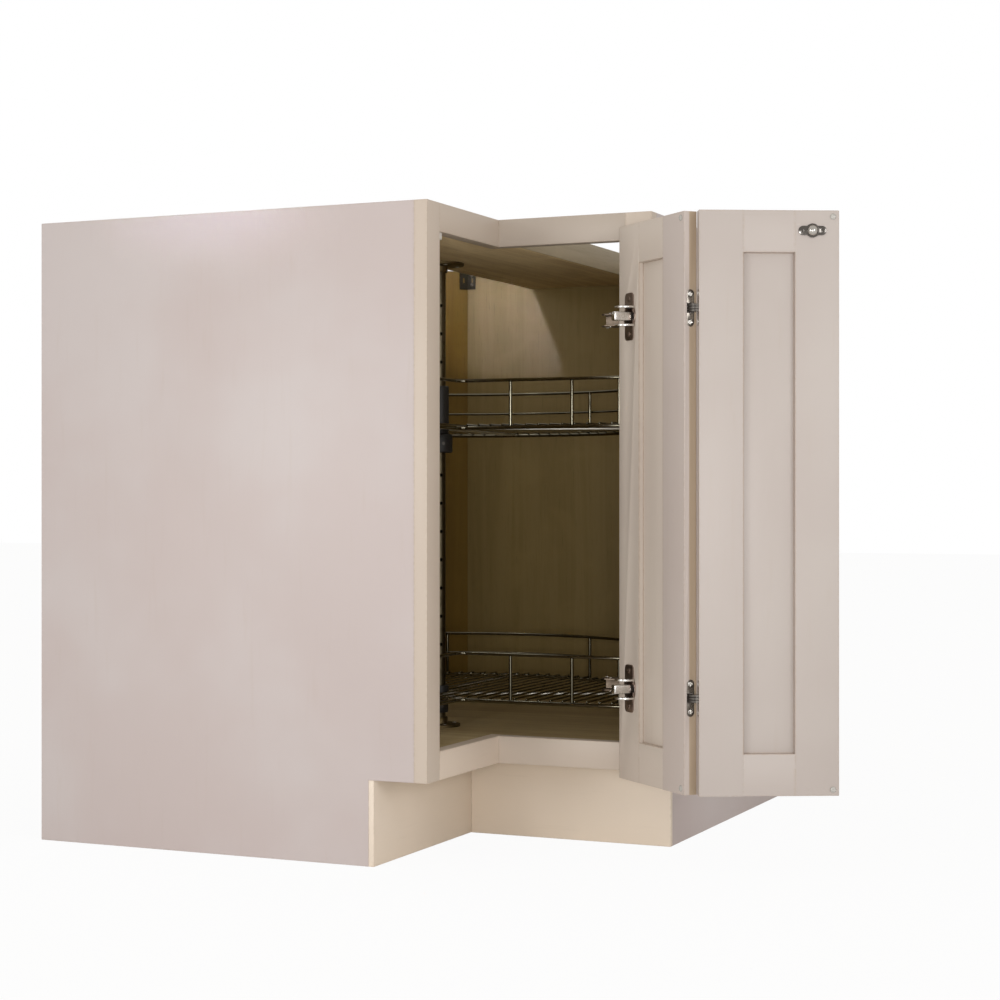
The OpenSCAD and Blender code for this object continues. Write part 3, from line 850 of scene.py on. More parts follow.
    @staticmethod
    def of_node(node: str, place: Matrix) -> BMesh:
        """A merged copy of a frame node in its design frame, in millimetres.

        Args:
            node: the node's name.
            place: the design frame's matrix.

        Returns:
            The mesh, with its flat faces whole.
        """
        bm = bmesh.new()
        bm.from_mesh(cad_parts[node].data)
        bmesh.ops.remove_doubles(bm, verts=bm.verts, dist=2e-6)
        Bench.moved(bm, Matrix.Scale(1 / MM, 4) @ place.inverted())
        bmesh.ops.dissolve_limit(bm, angle_limit=math.radians(0.6), use_dissolve_boundaries=False,
                                 verts=bm.verts, edges=bm.edges, delimit={"NORMAL"})
        return bm


@dataclass
class Assembly:
    """A group of pieces that share a body and a design frame.

    Attributes:
        body: the body that they ride on.
        place: the design frame's matrix.
        made: the names of the finished pieces.
    """

    body: Body
    place: Matrix
    made: List[str] = field(default_factory=list)

    def piece(self, name: str, bm: BMesh, finish: Finish, slot: Slot, grain: Grain = Grain.Z,
              body: Optional[Body] = None) -> None:
        """Turns a mesh in millimetres into a finished, dressed piece of the object.

        Args:
            name: the frame node that it stands for, a dot and its own word.
            bm: its mesh in the design frame; it is freed.
            finish: its finish.
            slot: the record's slot; not used.
            grain: the way its grain runs.
            body: the body it rides on, if not the assembly's.
        """
        low = Vector((min(v.co[k] for v in bm.verts) for k in range(3))) * MM
        high = Vector((max(v.co[k] for v in bm.verts) for k in range(3))) * MM
        for f in bm.faces:
            f.smooth = True
        for e in bm.edges:
            e.smooth = not (len(e.link_faces) != 2 or e.calc_face_angle(0.0) > SHARP)
        Bench.moved(bm, self.place @ Matrix.Scale(MM, 4))
        o = Bench.object_of(bm, name)
        o.data.materials.append(finish.material(Spot(self.place, low, high, grain), name))
        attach(o, (body or self.body).value)
        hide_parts(name.split(".")[0])
        self.made.append(name)

    def pair(self, name: str, shape: Callable[[float], BMesh], finish: Finish, slot: Slot) -> None:
        """Makes one piece of a shape that repeats at both hinge heights."""
        self.piece(name, Bench.join([shape(z) for z in PLAN.hinge_heights]), finish, slot)

    def eased(self, node: str, finish: Finish, slot: Slot, grain: Grain = Grain.Z,
              ease: float = 0.8, butt: Sequence[Tuple[int, float]] = ()) -> None:
        """A board with its edges eased, in place of a frame node.

        Args:
            node: the node's name; the piece gets the same name with "board".
            finish: the board's finish.
            slot: the record's slot.
            grain: the way its grain runs.
            ease: radius of its edges, in millimetres.
            butt: the planes, as axis and place, where it butts against another board;
                the edges in them get a hair line only.
        """
        bm = Bench.of_node(node, self.place)

        def butts(e: bmesh.types.BMEdge) -> bool:
            """Whether an edge lies in one of the planes."""
            return any(all(abs(v.co[k] - at) < ON_PLANE for v in e.verts) for k, at in butt)

        Bench.ease(bm, [e for e in Bench.sharp_edges(bm) if not butts(e)], ease)
        hair = [e for e in Bench.sharp_edges(bm) if butts(e)]
        if hair:
            Bench.ease(bm, hair, HAIR, 1)
        self.piece(f"{node}.board", bm, finish, slot, grain)

    def dress(self, node: str, finish: Finish) -> None:
        """Gives a frame node that stays shown its material.

        Args:
            node: the node's name.
            finish: its finish.
        """
        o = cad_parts[node]
        back = self.place.inverted()
        corners = [back @ v.co for v in o.data.vertices]
        low = Vector((min(c[k] for c in corners) for k in range(3)))
        high = Vector((max(c[k] for c in corners) for k in range(3)))
        o.data.materials.clear()
        o.data.materials.append(finish.material(Spot(self.place, low, high), node))
        self.made.append(node)

    def report(self) -> None:
        """Logs the pieces that were made."""
        log.info("%s: %d pieces: %s", type(self).__name__, len(self.made), ", ".join(self.made))


# -------------------------------------------------------------- the carcass


# The real cabinet has one paint; each copy below is lighter, darker or warmer for its part as painted light
# and shade: the frame's yellower tint is painted warm shade, the toe boards' lighter paint is painted light
# under the frame, and leaf A's lighter, warmer paint is painted light with a warm shade tint on the leaf that
# gets less lamp light.
LEFT_PAINT = Paint("left_panel_paint", colour=(195, 183, 180), glow=(199, 190, 188), wear=0.2)
FRAME_PAINT = Paint("frame_paint", colour=(199, 185, 171), glow=(203, 190, 176), wear=0.25)
DOOR_PAINT = LeafPaint("door_paint", colour=(187, 177, 171), glow=(191, 182, 176), wear=0.25)
LEAF_A_PAINTED_LIGHT = LeafPaint("leaf_a_painted_light", colour=(203, 191, 180), glow=(207, 196, 184), wear=0.25)
# Leaf A's fold stile, darker than the rest of the leaf: painted shade, and a tan strip on its edge that is
# bare wood and painted shade in one.
FOLD_PAINTED_SHADE = BareEdgeAndShadePaint("fold_edge_painted_shade", colour=(191, 179, 172), glow=(195, 184, 177), wear=0.25)
TOE_PAINTED_LIGHT = Paint("toe_painted_light", colour=(229, 215, 198), glow=(236, 222, 206), wear=0.2)
# One maple print lines the cabinet; the copies below are darker or lighter as painted light and shade: the
# back and diagonal panels much darker as painted shade, the carousel board's side darker as painted shade,
# the rest of the carousel board lighter as painted light.
INNER_MAPLE = Maple("inner_maple", light=(193, 174, 132), dark=(163, 139, 96))
BACK_PAINTED_SHADE = Maple("back_painted_shade", light=(136, 117, 73), dark=(125, 106, 62))
DIAGONAL_PAINTED_SHADE = Maple("diagonal_painted_shade", light=(125, 99, 41), dark=(115, 89, 34))
BOARD_SIDE_PAINTED_SHADE = Maple("board_side_painted_shade", light=(176, 163, 139), dark=(160, 147, 123))
BOARD_PAINTED_LIGHT = Maple("board_maple", light=(229, 207, 164), dark=(196, 171, 128))
# The chrome's colour is darkened and tinted olive: a painted reflection of the cabinet's dark inside.
CHROME = Metal("chrome", colour=(122, 118, 103), tarnish=(84, 79, 66), rough=0.04, spread=0.07)
STEEL = Metal("bright_steel", colour=(226, 224, 220), rough=0.20, spread=0.14)
ARM_STEEL = Metal("arm_steel", colour=(222, 220, 212), tarnish=(170, 166, 154), rough=0.42, share=0.3)
# The strike is one plated part: the dark metal of its plate and screws is painted shade, the dome's bright
# metal a painted highlight.
STRIKE = Metal("strike_plate", colour=(112, 108, 104), tarnish=(62, 59, 57), rough=0.10, spread=0.08)
DOME = Metal("strike_dome", colour=(206, 203, 198), tarnish=(140, 136, 130), rough=0.07, spread=0.06,
             share=0.15)
NICKEL = Metal("nickel", colour=(132, 126, 119), tarnish=(68, 62, 56), rough=0.20, share=0.6)
CHANNEL = Metal("channel_steel", colour=(128, 115, 102), tarnish=(76, 66, 56), rough=0.36, share=0.6)
BRACKET = Metal("bracket_steel", colour=(52, 49, 40), tarnish=(28, 26, 20), rough=0.50, share=0.6)
CUP_STEEL = Metal("cup_steel", colour=(146, 130, 120), tarnish=(96, 80, 72), rough=0.34, share=0.6)
DARK = Metal("dark_metal", colour=(92, 88, 84), tarnish=(48, 45, 42), rough=0.32, share=0.6)
BEARING = Metal("bearing_steel", colour=(112, 98, 70), tarnish=(70, 60, 42), rough=0.40, share=0.6)
ZINC = Metal("zinc_tube", colour=(104, 96, 78), tarnish=(64, 58, 44), rough=0.30, share=0.5)
HUB_BLACK = Plastic("hub_plastic")
CLEAR = Plastic("bumper_plastic", colour=(214, 212, 206), rubbed=(190, 186, 178), rough=0.18, clear=0.35)
CATCH_WHITE = Plastic("catch_plastic", colour=(214, 211, 204), rubbed=(186, 180, 170), rough=0.38)


@dataclass
class Carcass(Assembly):
    """Panels, floor, toe-kick boards and the board that holds the pole.

    Attributes:
        ease: radius of the boards' edges, in millimetres.
    """

    ease: float = 0.8

    def build(self) -> None:
        """Builds and dresses every board of the carcass."""
        left = FacedBoard("left_panel", outside=LEFT_PAINT, inside=INNER_MAPLE, axis=1)
        right = FacedBoard("right_panel", outside=LEFT_PAINT, inside=INNER_MAPLE, axis=0, outer_low=False)
        self.eased("left_end_panel", left, Slot.PANEL, ease=self.ease)
        self.eased("right_end_panel", right, Slot.PANEL, ease=self.ease)
        self.eased("left_back_panel", BACK_PAINTED_SHADE, Slot.INNER, ease=0.5)
        self.eased("right_back_panel", BACK_PAINTED_SHADE, Slot.INNER, ease=0.5)
        self.eased("diagonal_back_panel", DIAGONAL_PAINTED_SHADE, Slot.INNER, ease=0.5)
        self.eased("cabinet_floor", INNER_MAPLE, Slot.INNER, Grain.X, ease=0.5)
        # The board's side at high X takes painted shade, the rest painted light.
        board = FacedBoard("board", outside=BOARD_PAINTED_LIGHT, inside=BOARD_SIDE_PAINTED_SHADE, axis=0)
        self.eased("carousel_board", board, Slot.INNER, Grain.Y, ease=self.ease)
        self.eased("left_toe_kick", TOE_PAINTED_LIGHT, Slot.TOE, Grain.Y, ease=0.6)
        self.eased("right_toe_kick", TOE_PAINTED_LIGHT, Slot.TOE, Grain.X, ease=0.6)


@dataclass
class FaceFrame(Assembly):
    """The stiles and rails round the two openings.

    Attributes:
        ease: radius of the edges, in millimetres.
    """

    ease: float = 0.7

    def build(self) -> None:
        """Builds and dresses the face frame."""
        opening = PLAN.face_width - PLAN.frame_w
        left, right = ((1, -opening), (0, -PLAN.frame_t)), ((0, opening), (1, PLAN.frame_t), (0, 0.0))
        # The tones paint light and shade onto the rails: the left bottom rail lighter, the right top rail
        # darker.
        for node, tone, grain, butt in (
                ("left_stile", 1.0, Grain.Z, left), ("right_stile", 1.0, Grain.Z, right),
                ("left_top_rail", 1.01, Grain.Y, left), ("left_bottom_rail", 1.12, Grain.Y, left),
                ("right_top_rail", 0.90, Grain.X, right), ("right_bottom_rail", 0.98, Grain.X, right)):
            self.eased(node, FRAME_PAINT.painted_light_copy(tone), Slot.FRAME, grain, self.ease, butt)


@dataclass
class Leaf(Assembly):
    """One leaf of the folding pair: stiles, rails and a flat centre panel.

    Attributes:
        stem: the start of its nodes' names.
        stiles: its stiles by node name.
        paint: its paint.
        fold_paint: the paint of the stile at the fold.
        ease: radius of the outer edges, in millimetres.
    """

    stem: str = "leaf_a"
    stiles: Tuple[str, str] = ("hinge_stile", "fold_stile")
    paint: LeafPaint = DOOR_PAINT
    fold_paint: LeafPaint = DOOR_PAINT
    ease: float = 0.9

    def build(self) -> None:
        """Builds and dresses the leaf's wood."""
        joints = ((0, PLAN.leaf_stile), (0, PLAN.leaf_w - PLAN.leaf_stile))
        for part in self.stiles:
            paint = self.fold_paint if part == "fold_stile" else self.paint
            self.eased(f"{self.stem}_{part}", paint, Slot.DOOR, Grain.Z, self.ease, joints)
        for part in ("top_rail", "bottom_rail"):
            self.eased(f"{self.stem}_{part}", self.paint, Slot.DOOR, Grain.X, self.ease, joints)
        self.eased(f"{self.stem}_panel", self.paint, Slot.DOOR, Grain.Z, 0.1)


@dataclass(frozen=True)
class Screw:
    """A screw head with a cross recess; it sits on the origin and faces +Z.

    Attributes:
        radius: the head's radius, in millimetres.
        height: its height.
        sides: its sides.
        bit: half the recess's width as a share of the radius.
    """

    radius: float
    height: float
    sides: int = 20
    bit: float = 0.62

    def head(self) -> BMesh:
        """The head as one closed mesh."""
        r, h = self.radius, self.height
        bm = Bench.turned([(0, 0), (r * 0.97, 0), (r, h * 0.3), (r * 0.88, h * 0.75),
                           (r * 0.6, h * 0.96), (0, h)], self.sides)
        half, narrow = r * self.bit, r * self.bit * 0.25
        slots = [Bench.block((-a, -b, h * 0.4), (a, b, h + 1)) for a, b in ((half, narrow), (narrow, half))]
        return Bench.carved(bm, slots)

    def driven(self, places: Iterable[Matrix]) -> BMesh:
        """Copies of the head at several places, as one mesh."""
        return Bench.repeated(self.head(), places)


@dataclass
class FrameHinges(Assembly):
    """The half of each wide-angle hinge that is fixed to the frame.

    Attributes:
        plate: width, height and thickness of the base plate, in millimetres.
        wrap: width, height and thickness of its edge on the frame's front.
        channel: lowest and highest corner of the channel about its hinge height.
        wall: thickness of the channel's sheet.
        arm_turn: direction of the pivot arm, in degrees.
        arm: reach, half width and half height of the pivot arm.
        pin: profile of the pivot pin above its middle, as (radius, height).
    """

    arm_turn: float = 112.0
    arm: Triple = (11.6, 2.5, 2.0)
    pin: Tuple[Tuple[float, float], ...] = ((3.2, 1.9), (2.0, 2.0), (2.0, 8.6), (1.6, 9.0), (0.0, 9.0))
    plate: Triple = (18.5, 56.0, 3.0)
    wrap: Triple = (23.0, 28.0, 1.1)
    channel: Tuple[Triple, Triple] = ((152.0, 1.5, -9.0), (187.0, 27.5, 9.0))
    wall: float = 2.0

    def build(self) -> None:
        """Builds the plates, the channels with their pivots, and the rivets."""
        self.pair("hinge_plates.base", self._base, DARK, Slot.DARK)
        self.pair("hinge_plates.channel", self._channel, CHANNEL, Slot.STEEL)
        self.pair("hinge_plates.rivets", self._rivets, STEEL, Slot.STEEL)

    def _base(self, z: float) -> BMesh:
        """One base plate with its wrapped edge and pivot arm."""
        inner = PLAN.face_width - PLAN.frame_w
        w, _, t = self.plate
        base = Bench.moved(Bench.plate(self.plate, 6.0, 0.4),
                           Bench.on_end(inner, w / 2, z))
        wide, _, thin = self.wrap
        edge = Bench.moved(Bench.plate(self.wrap, 5.0, 0.3),
                           Bench.set_on((inner - 1 + wide / 2, 0, z), (1, 0, 0), (0, 0, 1)))
        axis = PLAN.swing
        reach, half, rise = self.arm
        arm = Bench.block((0, -half, -rise), (reach, half, rise), 0.4)
        turn = Matrix.Translation((axis.x, axis.y, z)) @ upright_turn(self.arm_turn)
        pin = Bench.turned([*((r, -h) for r, h in reversed(self.pin)), *self.pin], 24)
        return Bench.join([base, edge, Bench.moved(arm, turn),
                           Bench.moved(pin, Matrix.Translation((axis.x, axis.y, z)))])

    def _channel(self, z: float) -> BMesh:
        """One channel, open towards the doors, with an adjusting slot in its back."""
        (x0, y0, z0), (x1, y1, z1) = self.channel
        shell = Bench.block((x0, y0, z + z0), (x1, y1, z + z1), 1.3, 3)
        room = Bench.block((x0 - 2, y0 - 2, z + z0 + self.wall),
                           (x1 - 1, y1 - self.wall, z + z1 - self.wall), 0.5)
        slot = Bench.moved(Bench.plate((5.0, 14.0, 4.0), 2.4, 0), Bench.set_on(
            (x0 + 12, y1 + 1, z), (0, 0, 1), (1, 0, 0)))
        nose = Bench.moved(Bench.block((-9, -9, z + z0 - 1), (9, 9, z + z1 + 1)),
                           Matrix.Translation((x0 - 3, y0 - 3, 0)) @ upright_turn(45))
        return Bench.carved(shell, [room, slot, nose])

    def _rivets(self, z: float) -> BMesh:
        """Rivet heads on the channel's cheeks and the adjusting screw in its back."""
        (x0, y0, z0), (x1, y1, z1) = self.channel
        dome = Bench.turned([(0, -0.4), (2.3, -0.4), (2.3, 0.2), (1.7, 0.9), (0, 1.2)], 16)
        places = [Bench.set_on((x, y, z + end), (1, 0, 0), (0, side, 0))
                  for x, y in ((x0 + 14, y0 + 4), (x0 + 3.5, y1 - 5))
                  for end, side in ((z1, 1), (z0, -1))]
        cam = Screw(3.0, 1.2).driven([Bench.set_on((x1 - 8, y1 - self.wall, z), (1, 0, 0), (0, 0, 1))])
        return Bench.join([Bench.repeated(dome, places), cam])


@dataclass
class LeafHinges(Assembly):
    """The half of each wide-angle hinge that is let into leaf A.

    Attributes:
        cup_inset: distance from the cup to the leaf's hinge edge, in millimetres.
        cup_r: radius of the cup.
        cup_depth: its depth.
        flange: width, height and thickness of its flange.
        bar: lowest and highest corner of the bar about the cup's centre.
        ear_r: radius of an ear's outline.
        ear_bite: radius of the curve cut into it.
        screw_reach: the cup screws' distance above and below the cup's centre.
    """

    cup_inset: float = 30.5
    cup_r: float = 17.5
    cup_depth: float = 12.0
    flange: Triple = (24.0, 64.0, 1.5)
    bar: Tuple[Triple, Triple] = ((-8.0, 8.2, -6.0), (2.0, 46.0, 6.0))
    ear_r: float = 15.0
    ear_bite: float = 13.0
    screw_reach: float = 24.0

    def build(self) -> None:
        """Builds the cups, the arms and the cup screws."""
        heights = PLAN.hinge_heights
        self.pair("hinge_cups.steel", self._cup, CUP_STEEL, Slot.STEEL)
        self.pair("hinge_arms.bars", self._bar, STEEL, Slot.CHROME)
        ears = [self._ear(z + s) for z in heights for s in (11.0, -13.5)]
        self.piece("hinge_arms.ears", Bench.join(ears), STEEL, Slot.CHROME)
        seat = PLAN.leaf_t + self.flange[2]
        places = [Bench.on_back(self.u, seat, z + s * self.screw_reach)
                  for z in heights for s in (-1, 1)]
        self.piece("hinge_cup_screws.heads", Screw(3.8, 0.8).driven(places), CUP_STEEL, Slot.STEEL)

    @property
    def u(self) -> float:
        """The cups' distance from the fold edge."""
        return PLAN.leaf_w - self.cup_inset

    def _cup(self, z: float) -> BMesh:
        """One cup with its rim, and the flange with rounded ends."""
        r, t, deep = self.cup_r, PLAN.leaf_t, PLAN.leaf_t - self.cup_depth
        bore = r - 4.7
        cup = Bench.turned([(0, deep), (r - 0.3, deep), (r, deep + 0.3), (r, t + 0.1), (r - 0.5, t + 0.5),
                            (bore + 0.8, t + 0.5), (bore, t - 0.3), (bore, deep + 1.2), (0, deep + 1.2)], 48)
        plate = Bench.carved(Bench.plate(self.flange, 6.0, 0.5),
                             [Bench.rod((0, 0, -2), (0, 0, 4), bore, 48)])
        upright = Bench.on_back(self.u, 0, z)
        on_face = Bench.on_back(self.u, t, z)
        return Bench.join([Bench.moved(cup, upright), Bench.moved(plate, on_face)])

    def _bar(self, z: float) -> BMesh:
        """One arm's bar, with a groove down its face."""
        (u0, v0, z0), (u1, v1, z1) = self.bar
        bar = Bench.block((self.u + u0, v0, z + z0), (self.u + u1, v1, z + z1), 1.4, 3)
        groove = Bench.block((self.u + u0 - 1, v0 + 14, z - 1.2), (self.u + u0 + 0.5, v1 - 6, z + 1.2))
        return Bench.carved(bar, [groove])

    def _ear(self, z: float) -> BMesh:
        """One curved ear beside the bar."""
        v = PLAN.leaf_t
        outer = Bench.rod((self.u - self.ear_r * 0.13, v + self.ear_r * 0.53, z),
                          (self.u - self.ear_r * 0.13, v + self.ear_r * 0.53, z + 2.5), self.ear_r, 48)
        centre = (self.u + self.ear_bite * 0.7, v + self.ear_bite)
        bite = Bench.rod((*centre, z - 1), (*centre, z + 4), self.ear_bite, 48)
        foot = v + self.flange[2]
        below = Bench.block((self.u - 40, foot - 30, z - 1), (self.u + 40, foot, z + 4))
        ear = Bench.carved(outer, [bite, below])
        Bench.ease(ear, Bench.sharp_edges(ear), 0.45, 2)
        return ear


@dataclass
class FoldPlates(Assembly):
    """The plates let into one leaf's fold edge, with their screws.

    Attributes:
        end: the last letter of their nodes' names.
        size: width, height and thickness, in millimetres.
        pocket: height of the opening for the links, if the plate has one.
        centre: distance of the plate's middle from the leaf's front.
        corner: radius of its corners; it stays under half the width, or the cut plate comes out empty.
        hole: radii of a countersunk hole, and its depth.
    """

    end: str = "a"
    size: Triple = (11.0, 48.0, 2.0)
    pocket: float = 13.0
    centre: float = 9.5
    corner: float = 5.4
    hole: Triple = (3.5, 4.0, 1.3)

    def build(self) -> None:
        """Builds the plates and the screws."""
        self.pair(f"fold_plates_{self.end}.nickel", self._plate, NICKEL, Slot.STEEL)
        places = [self._on_edge(z + s * self.reach, 0.7) for z in PLAN.hinge_heights for s in (-1, 1)]
        heads = Screw(3.4, 0.9, bit=0.8).driven(places)
        self.piece(f"fold_screws_{self.end}.heads", heads, STEEL, Slot.STEEL)

    @property
    def reach(self) -> float:
        """The screws' distance above and below the hinge's middle."""
        return self.size[1] / 2 - 6.0

    def _on_edge(self, z: float, depth: float) -> Matrix:
        """The place of a shape that faces out of the fold edge."""
        return Bench.on_end(depth, self.centre, z)

    def _plate(self, z: float) -> BMesh:
        """One plate with countersunk holes and its opening."""
        t = self.size[2]
        small, large, deep = self.hole
        sink = [(0, t - deep), (small, t - deep), (large, t + 1), (0, t + 1)]
        cuts = [Bench.moved(Bench.turned(sink, 24), Matrix.Translation((0, s * self.reach, 0)))
                for s in (-1, 1)]
        if self.pocket > 0:
            cuts.append(Bench.block((-9, -self.pocket / 2, -1), (4.9, self.pocket / 2, t + 1)))
        plate = Bench.carved(Bench.plate(self.size, self.corner, 0.3, 10), cuts)
        return Bench.moved(plate, self._on_edge(z, t))


@dataclass
class CatchParts(Assembly):
    """The strike on leaf B, which the catch on the frame holds.

    Attributes:
        strike_inset: distance of the strike from the free edge, in millimetres.
        drop: its distance below the leaf's top.
        ears: width, height and thickness of the strike's plate.
        screw_reach: the screws' distance from the strike's middle.
    """

    strike_inset: float = 34.5
    drop: float = 26.0
    ears: Triple = (36.0, 12.0, 1.5)
    screw_reach: float = 13.5

    def build(self) -> None:
        """Builds the strike with its dome and screws."""
        u, v = PLAN.leaf_w - self.strike_inset, PLAN.leaf_t
        z = PLAN.leaf_bottom + PLAN.leaf_h - self.drop
        flat = Bench.plate(self.ears, 5.9, 0.4, 10)
        ring = Bench.turned([(0, 0), (8.6, 0), (9.0, 0.4), (9.0, 1.3), (8.4, 1.9), (7.0, 2.0), (0, 2.0)], 48)
        dome = Bench.turned([(0, 1.8), (7.0, 1.8), (6.6, 2.7), (6.2, 3.8), (5.0, 5.6), (3.0, 7.0),
                             (0, 7.5)], 48)
        upright = Bench.on_back(u, v, z)
        self.piece("catch_strike.plate", Bench.moved(Bench.join([flat, ring]), upright), STRIKE,
                   Slot.CHROME)
        self.piece("catch_strike.dome", Bench.moved(dome, upright), DOME, Slot.CHROME)
        places = [Bench.on_back(u + s * self.screw_reach, v + self.ears[2], z) for s in (-1, 1)]
        self.piece("strike_screws.heads", Screw(3.0, 0.6).driven(places), STRIKE, Slot.STEEL)


@dataclass
class Pads(Assembly):
    """The clear pads on one leaf's back.

    Attributes:
        end: the last letter of their node's name.
        u: their distance from the fold edge, in millimetres.
        inset: their distance from the leaf's top and bottom.
    """

    end: str = "a"
    u: float = 8.0
    inset: float = 8.0

    def build(self) -> None:
        """Builds both pads as low domes."""
        dome = Bench.turned([(0, 0), (3.9, 0), (4.0, 0.3), (3.7, 1.0), (2.6, 1.6), (0, 1.8)], 24)
        low, high = PLAN.leaf_bottom + self.inset, PLAN.leaf_bottom + PLAN.leaf_h - self.inset
        pads = Bench.repeated(dome, [Bench.on_back(self.u, PLAN.leaf_t, z) for z in (low, high)])
        self.piece(f"bumpers_{self.end}.pads", pads, CLEAR, Slot.BUMPER)


@dataclass
class Spindle(Assembly):
    """Turned parts on the pole: bearings, collars and the trays' hubs.

    Attributes:
        bore: radius of the pole, in millimetres.
    """

    bore: float = 10.0

    def build(self) -> None:
        """Builds each turned part over its frame node."""
        board = PLAN.height - PLAN.board_t
        self._ring("top_bearing", self._flange(38.0), board, BEARING, Slot.HUB, flip=True)
        self._ring("bottom_bearing", self._flange(32.0), PLAN.deck_top, BEARING, Slot.HUB)
        self._ring("upper_collar", self._sleeve(20.5, 28.0, 2.2), PLAN.upper_tray - 35, HUB_BLACK, Slot.HUB)
        self._ring("lower_collar", self._sleeve(14.0, 20.0, 1.2), PLAN.lower_tray - 27, HUB_BLACK, Slot.HUB)
        self._ring("upper_hub", self._hub(66.0), PLAN.upper_tray, HUB_BLACK, Slot.HUB,
                   body=Body.UPPER_TRAY)
        self._ring("lower_hub", self._hub(14.0), PLAN.lower_tray, HUB_BLACK, Slot.HUB,
                   body=Body.LOWER_TRAY)

    def _flange(self, r: float) -> List[Tuple[float, float]]:
        """A bearing's profile: a flange with a raised collar."""
        b = self.bore
        return [(b, 0), (r, 0), (r, 3.2), (r - 0.8, 4), (b + 5, 4), (b + 3.4, 4.8), (b + 3, 6),
                (b + 3, 13.2), (b + 2.2, 14), (b, 14), (b, 0)]

    def _sleeve(self, r: float, h: float, ease: float) -> List[Tuple[float, float]]:
        """A collar's profile with rounded ends."""
        b = self.bore
        return [(b, 0), (r - ease, 0), (r - ease * 0.3, ease * 0.3), (r, ease), (r, h - ease),
                (r - ease * 0.3, h - ease * 0.3), (r - ease, h), (b, h), (b, 0)]

    def _hub(self, top: float) -> List[Tuple[float, float]]:
        """A tray hub's profile, from just above its collar."""
        b = self.bore + 0.3
        return [(b, -6.7), (14.4, -6.7), (15, -6.1), (15, top - 2.6), (14.6, top - 0.6), (13.6, top),
                (b, top), (b, -6.7)]

    def _ring(self, node: str, profile: Sequence[Tuple[float, float]], z: float, finish: Finish,
              slot: Slot, flip: bool = False, body: Optional[Body] = None) -> None:
        """Turns one profile about the pole in place of a node."""
        shift = Matrix.Translation((0, 0, z)) @ Matrix.Scale(-1.0 if flip else 1.0, 4, (0, 0, 1))
        self.piece(f"{node}.turned", Bench.moved(Bench.turned(profile), shift), finish, slot, body=body)


@dataclass
class TrayFloor(Assembly):
    """One tray's floor: flat arms under a row of straight wires.

    Attributes:
        node: its frame node.
        z: height of the rim, in millimetres.
        radius: radius of the rim.
        notch: distance of the notch's edges from the pole.
        pitch: spacing of the wires.
        wire_r: radius of a wire.
        rim_r: radius of the rim's wire.
        hub_r: radius of the hub.
        weld: depth to which welded wires sink in.
        arm: width and thickness of an arm.
        arm_angles: the arms' directions.
    """

    node: str = "upper_floor"
    z: float = PLAN.upper_tray
    radius: float = 344.94
    notch: float = 64.0
    pitch: float = 19.0
    wire_r: float = 1.5
    rim_r: float = 3.0
    hub_r: float = 15.0
    weld: float = 0.3
    arm: Tuple[float, float] = (14.0, 3.0)
    arm_angles: Tuple[float, ...] = (22.5, 95.0, 180.0, 247.5)

    def build(self) -> None:
        """Builds the wires and the arms."""
        self.piece(f"{self.node}.wires", Bench.join(self._wires()), CHROME, Slot.CHROME)
        self.piece(f"{self.node}.arms", Bench.join(self._arms()), ARM_STEEL, Slot.STEEL)

    def _wires(self) -> Iterable[BMesh]:
        """Each wire as a rod with rounded ends, from rim to rim or to the hub."""
        count = int((self.radius - 6) // self.pitch)
        height = self.z + self.rim_r + self.wire_r - self.weld
        for k in range(-count, count + 1):
            x = k * self.pitch
            far = math.sqrt(self.radius ** 2 - x ** 2) + 1
            near = -self.notch - 1 if x > self.notch else -far
            runs = [(near, far)] if k else [(near, -self.hub_r + self.weld), (self.hub_r - self.weld, far)]
            for low, high in runs:
                yield Bench.rod((x, low, height), (x, high, height), self.wire_r, 10, 0.6)

    def _arms(self) -> Iterable[BMesh]:
        """Each arm as a flat bar with eased edges."""
        wide, thick = self.arm
        top = self.z + self.rim_r - self.weld + 0.2
        runs = [(a, self.radius - self.rim_r + 0.5) for a in self.arm_angles]
        for angle, reach in [*runs, (-45.0, self.notch * math.sqrt(2) + 3)]:
            bar = Bench.block((self.hub_r - 1, -wide / 2, top - thick), (reach, wide / 2, top), 0.6)
            yield Bench.moved(bar, upright_turn(angle))


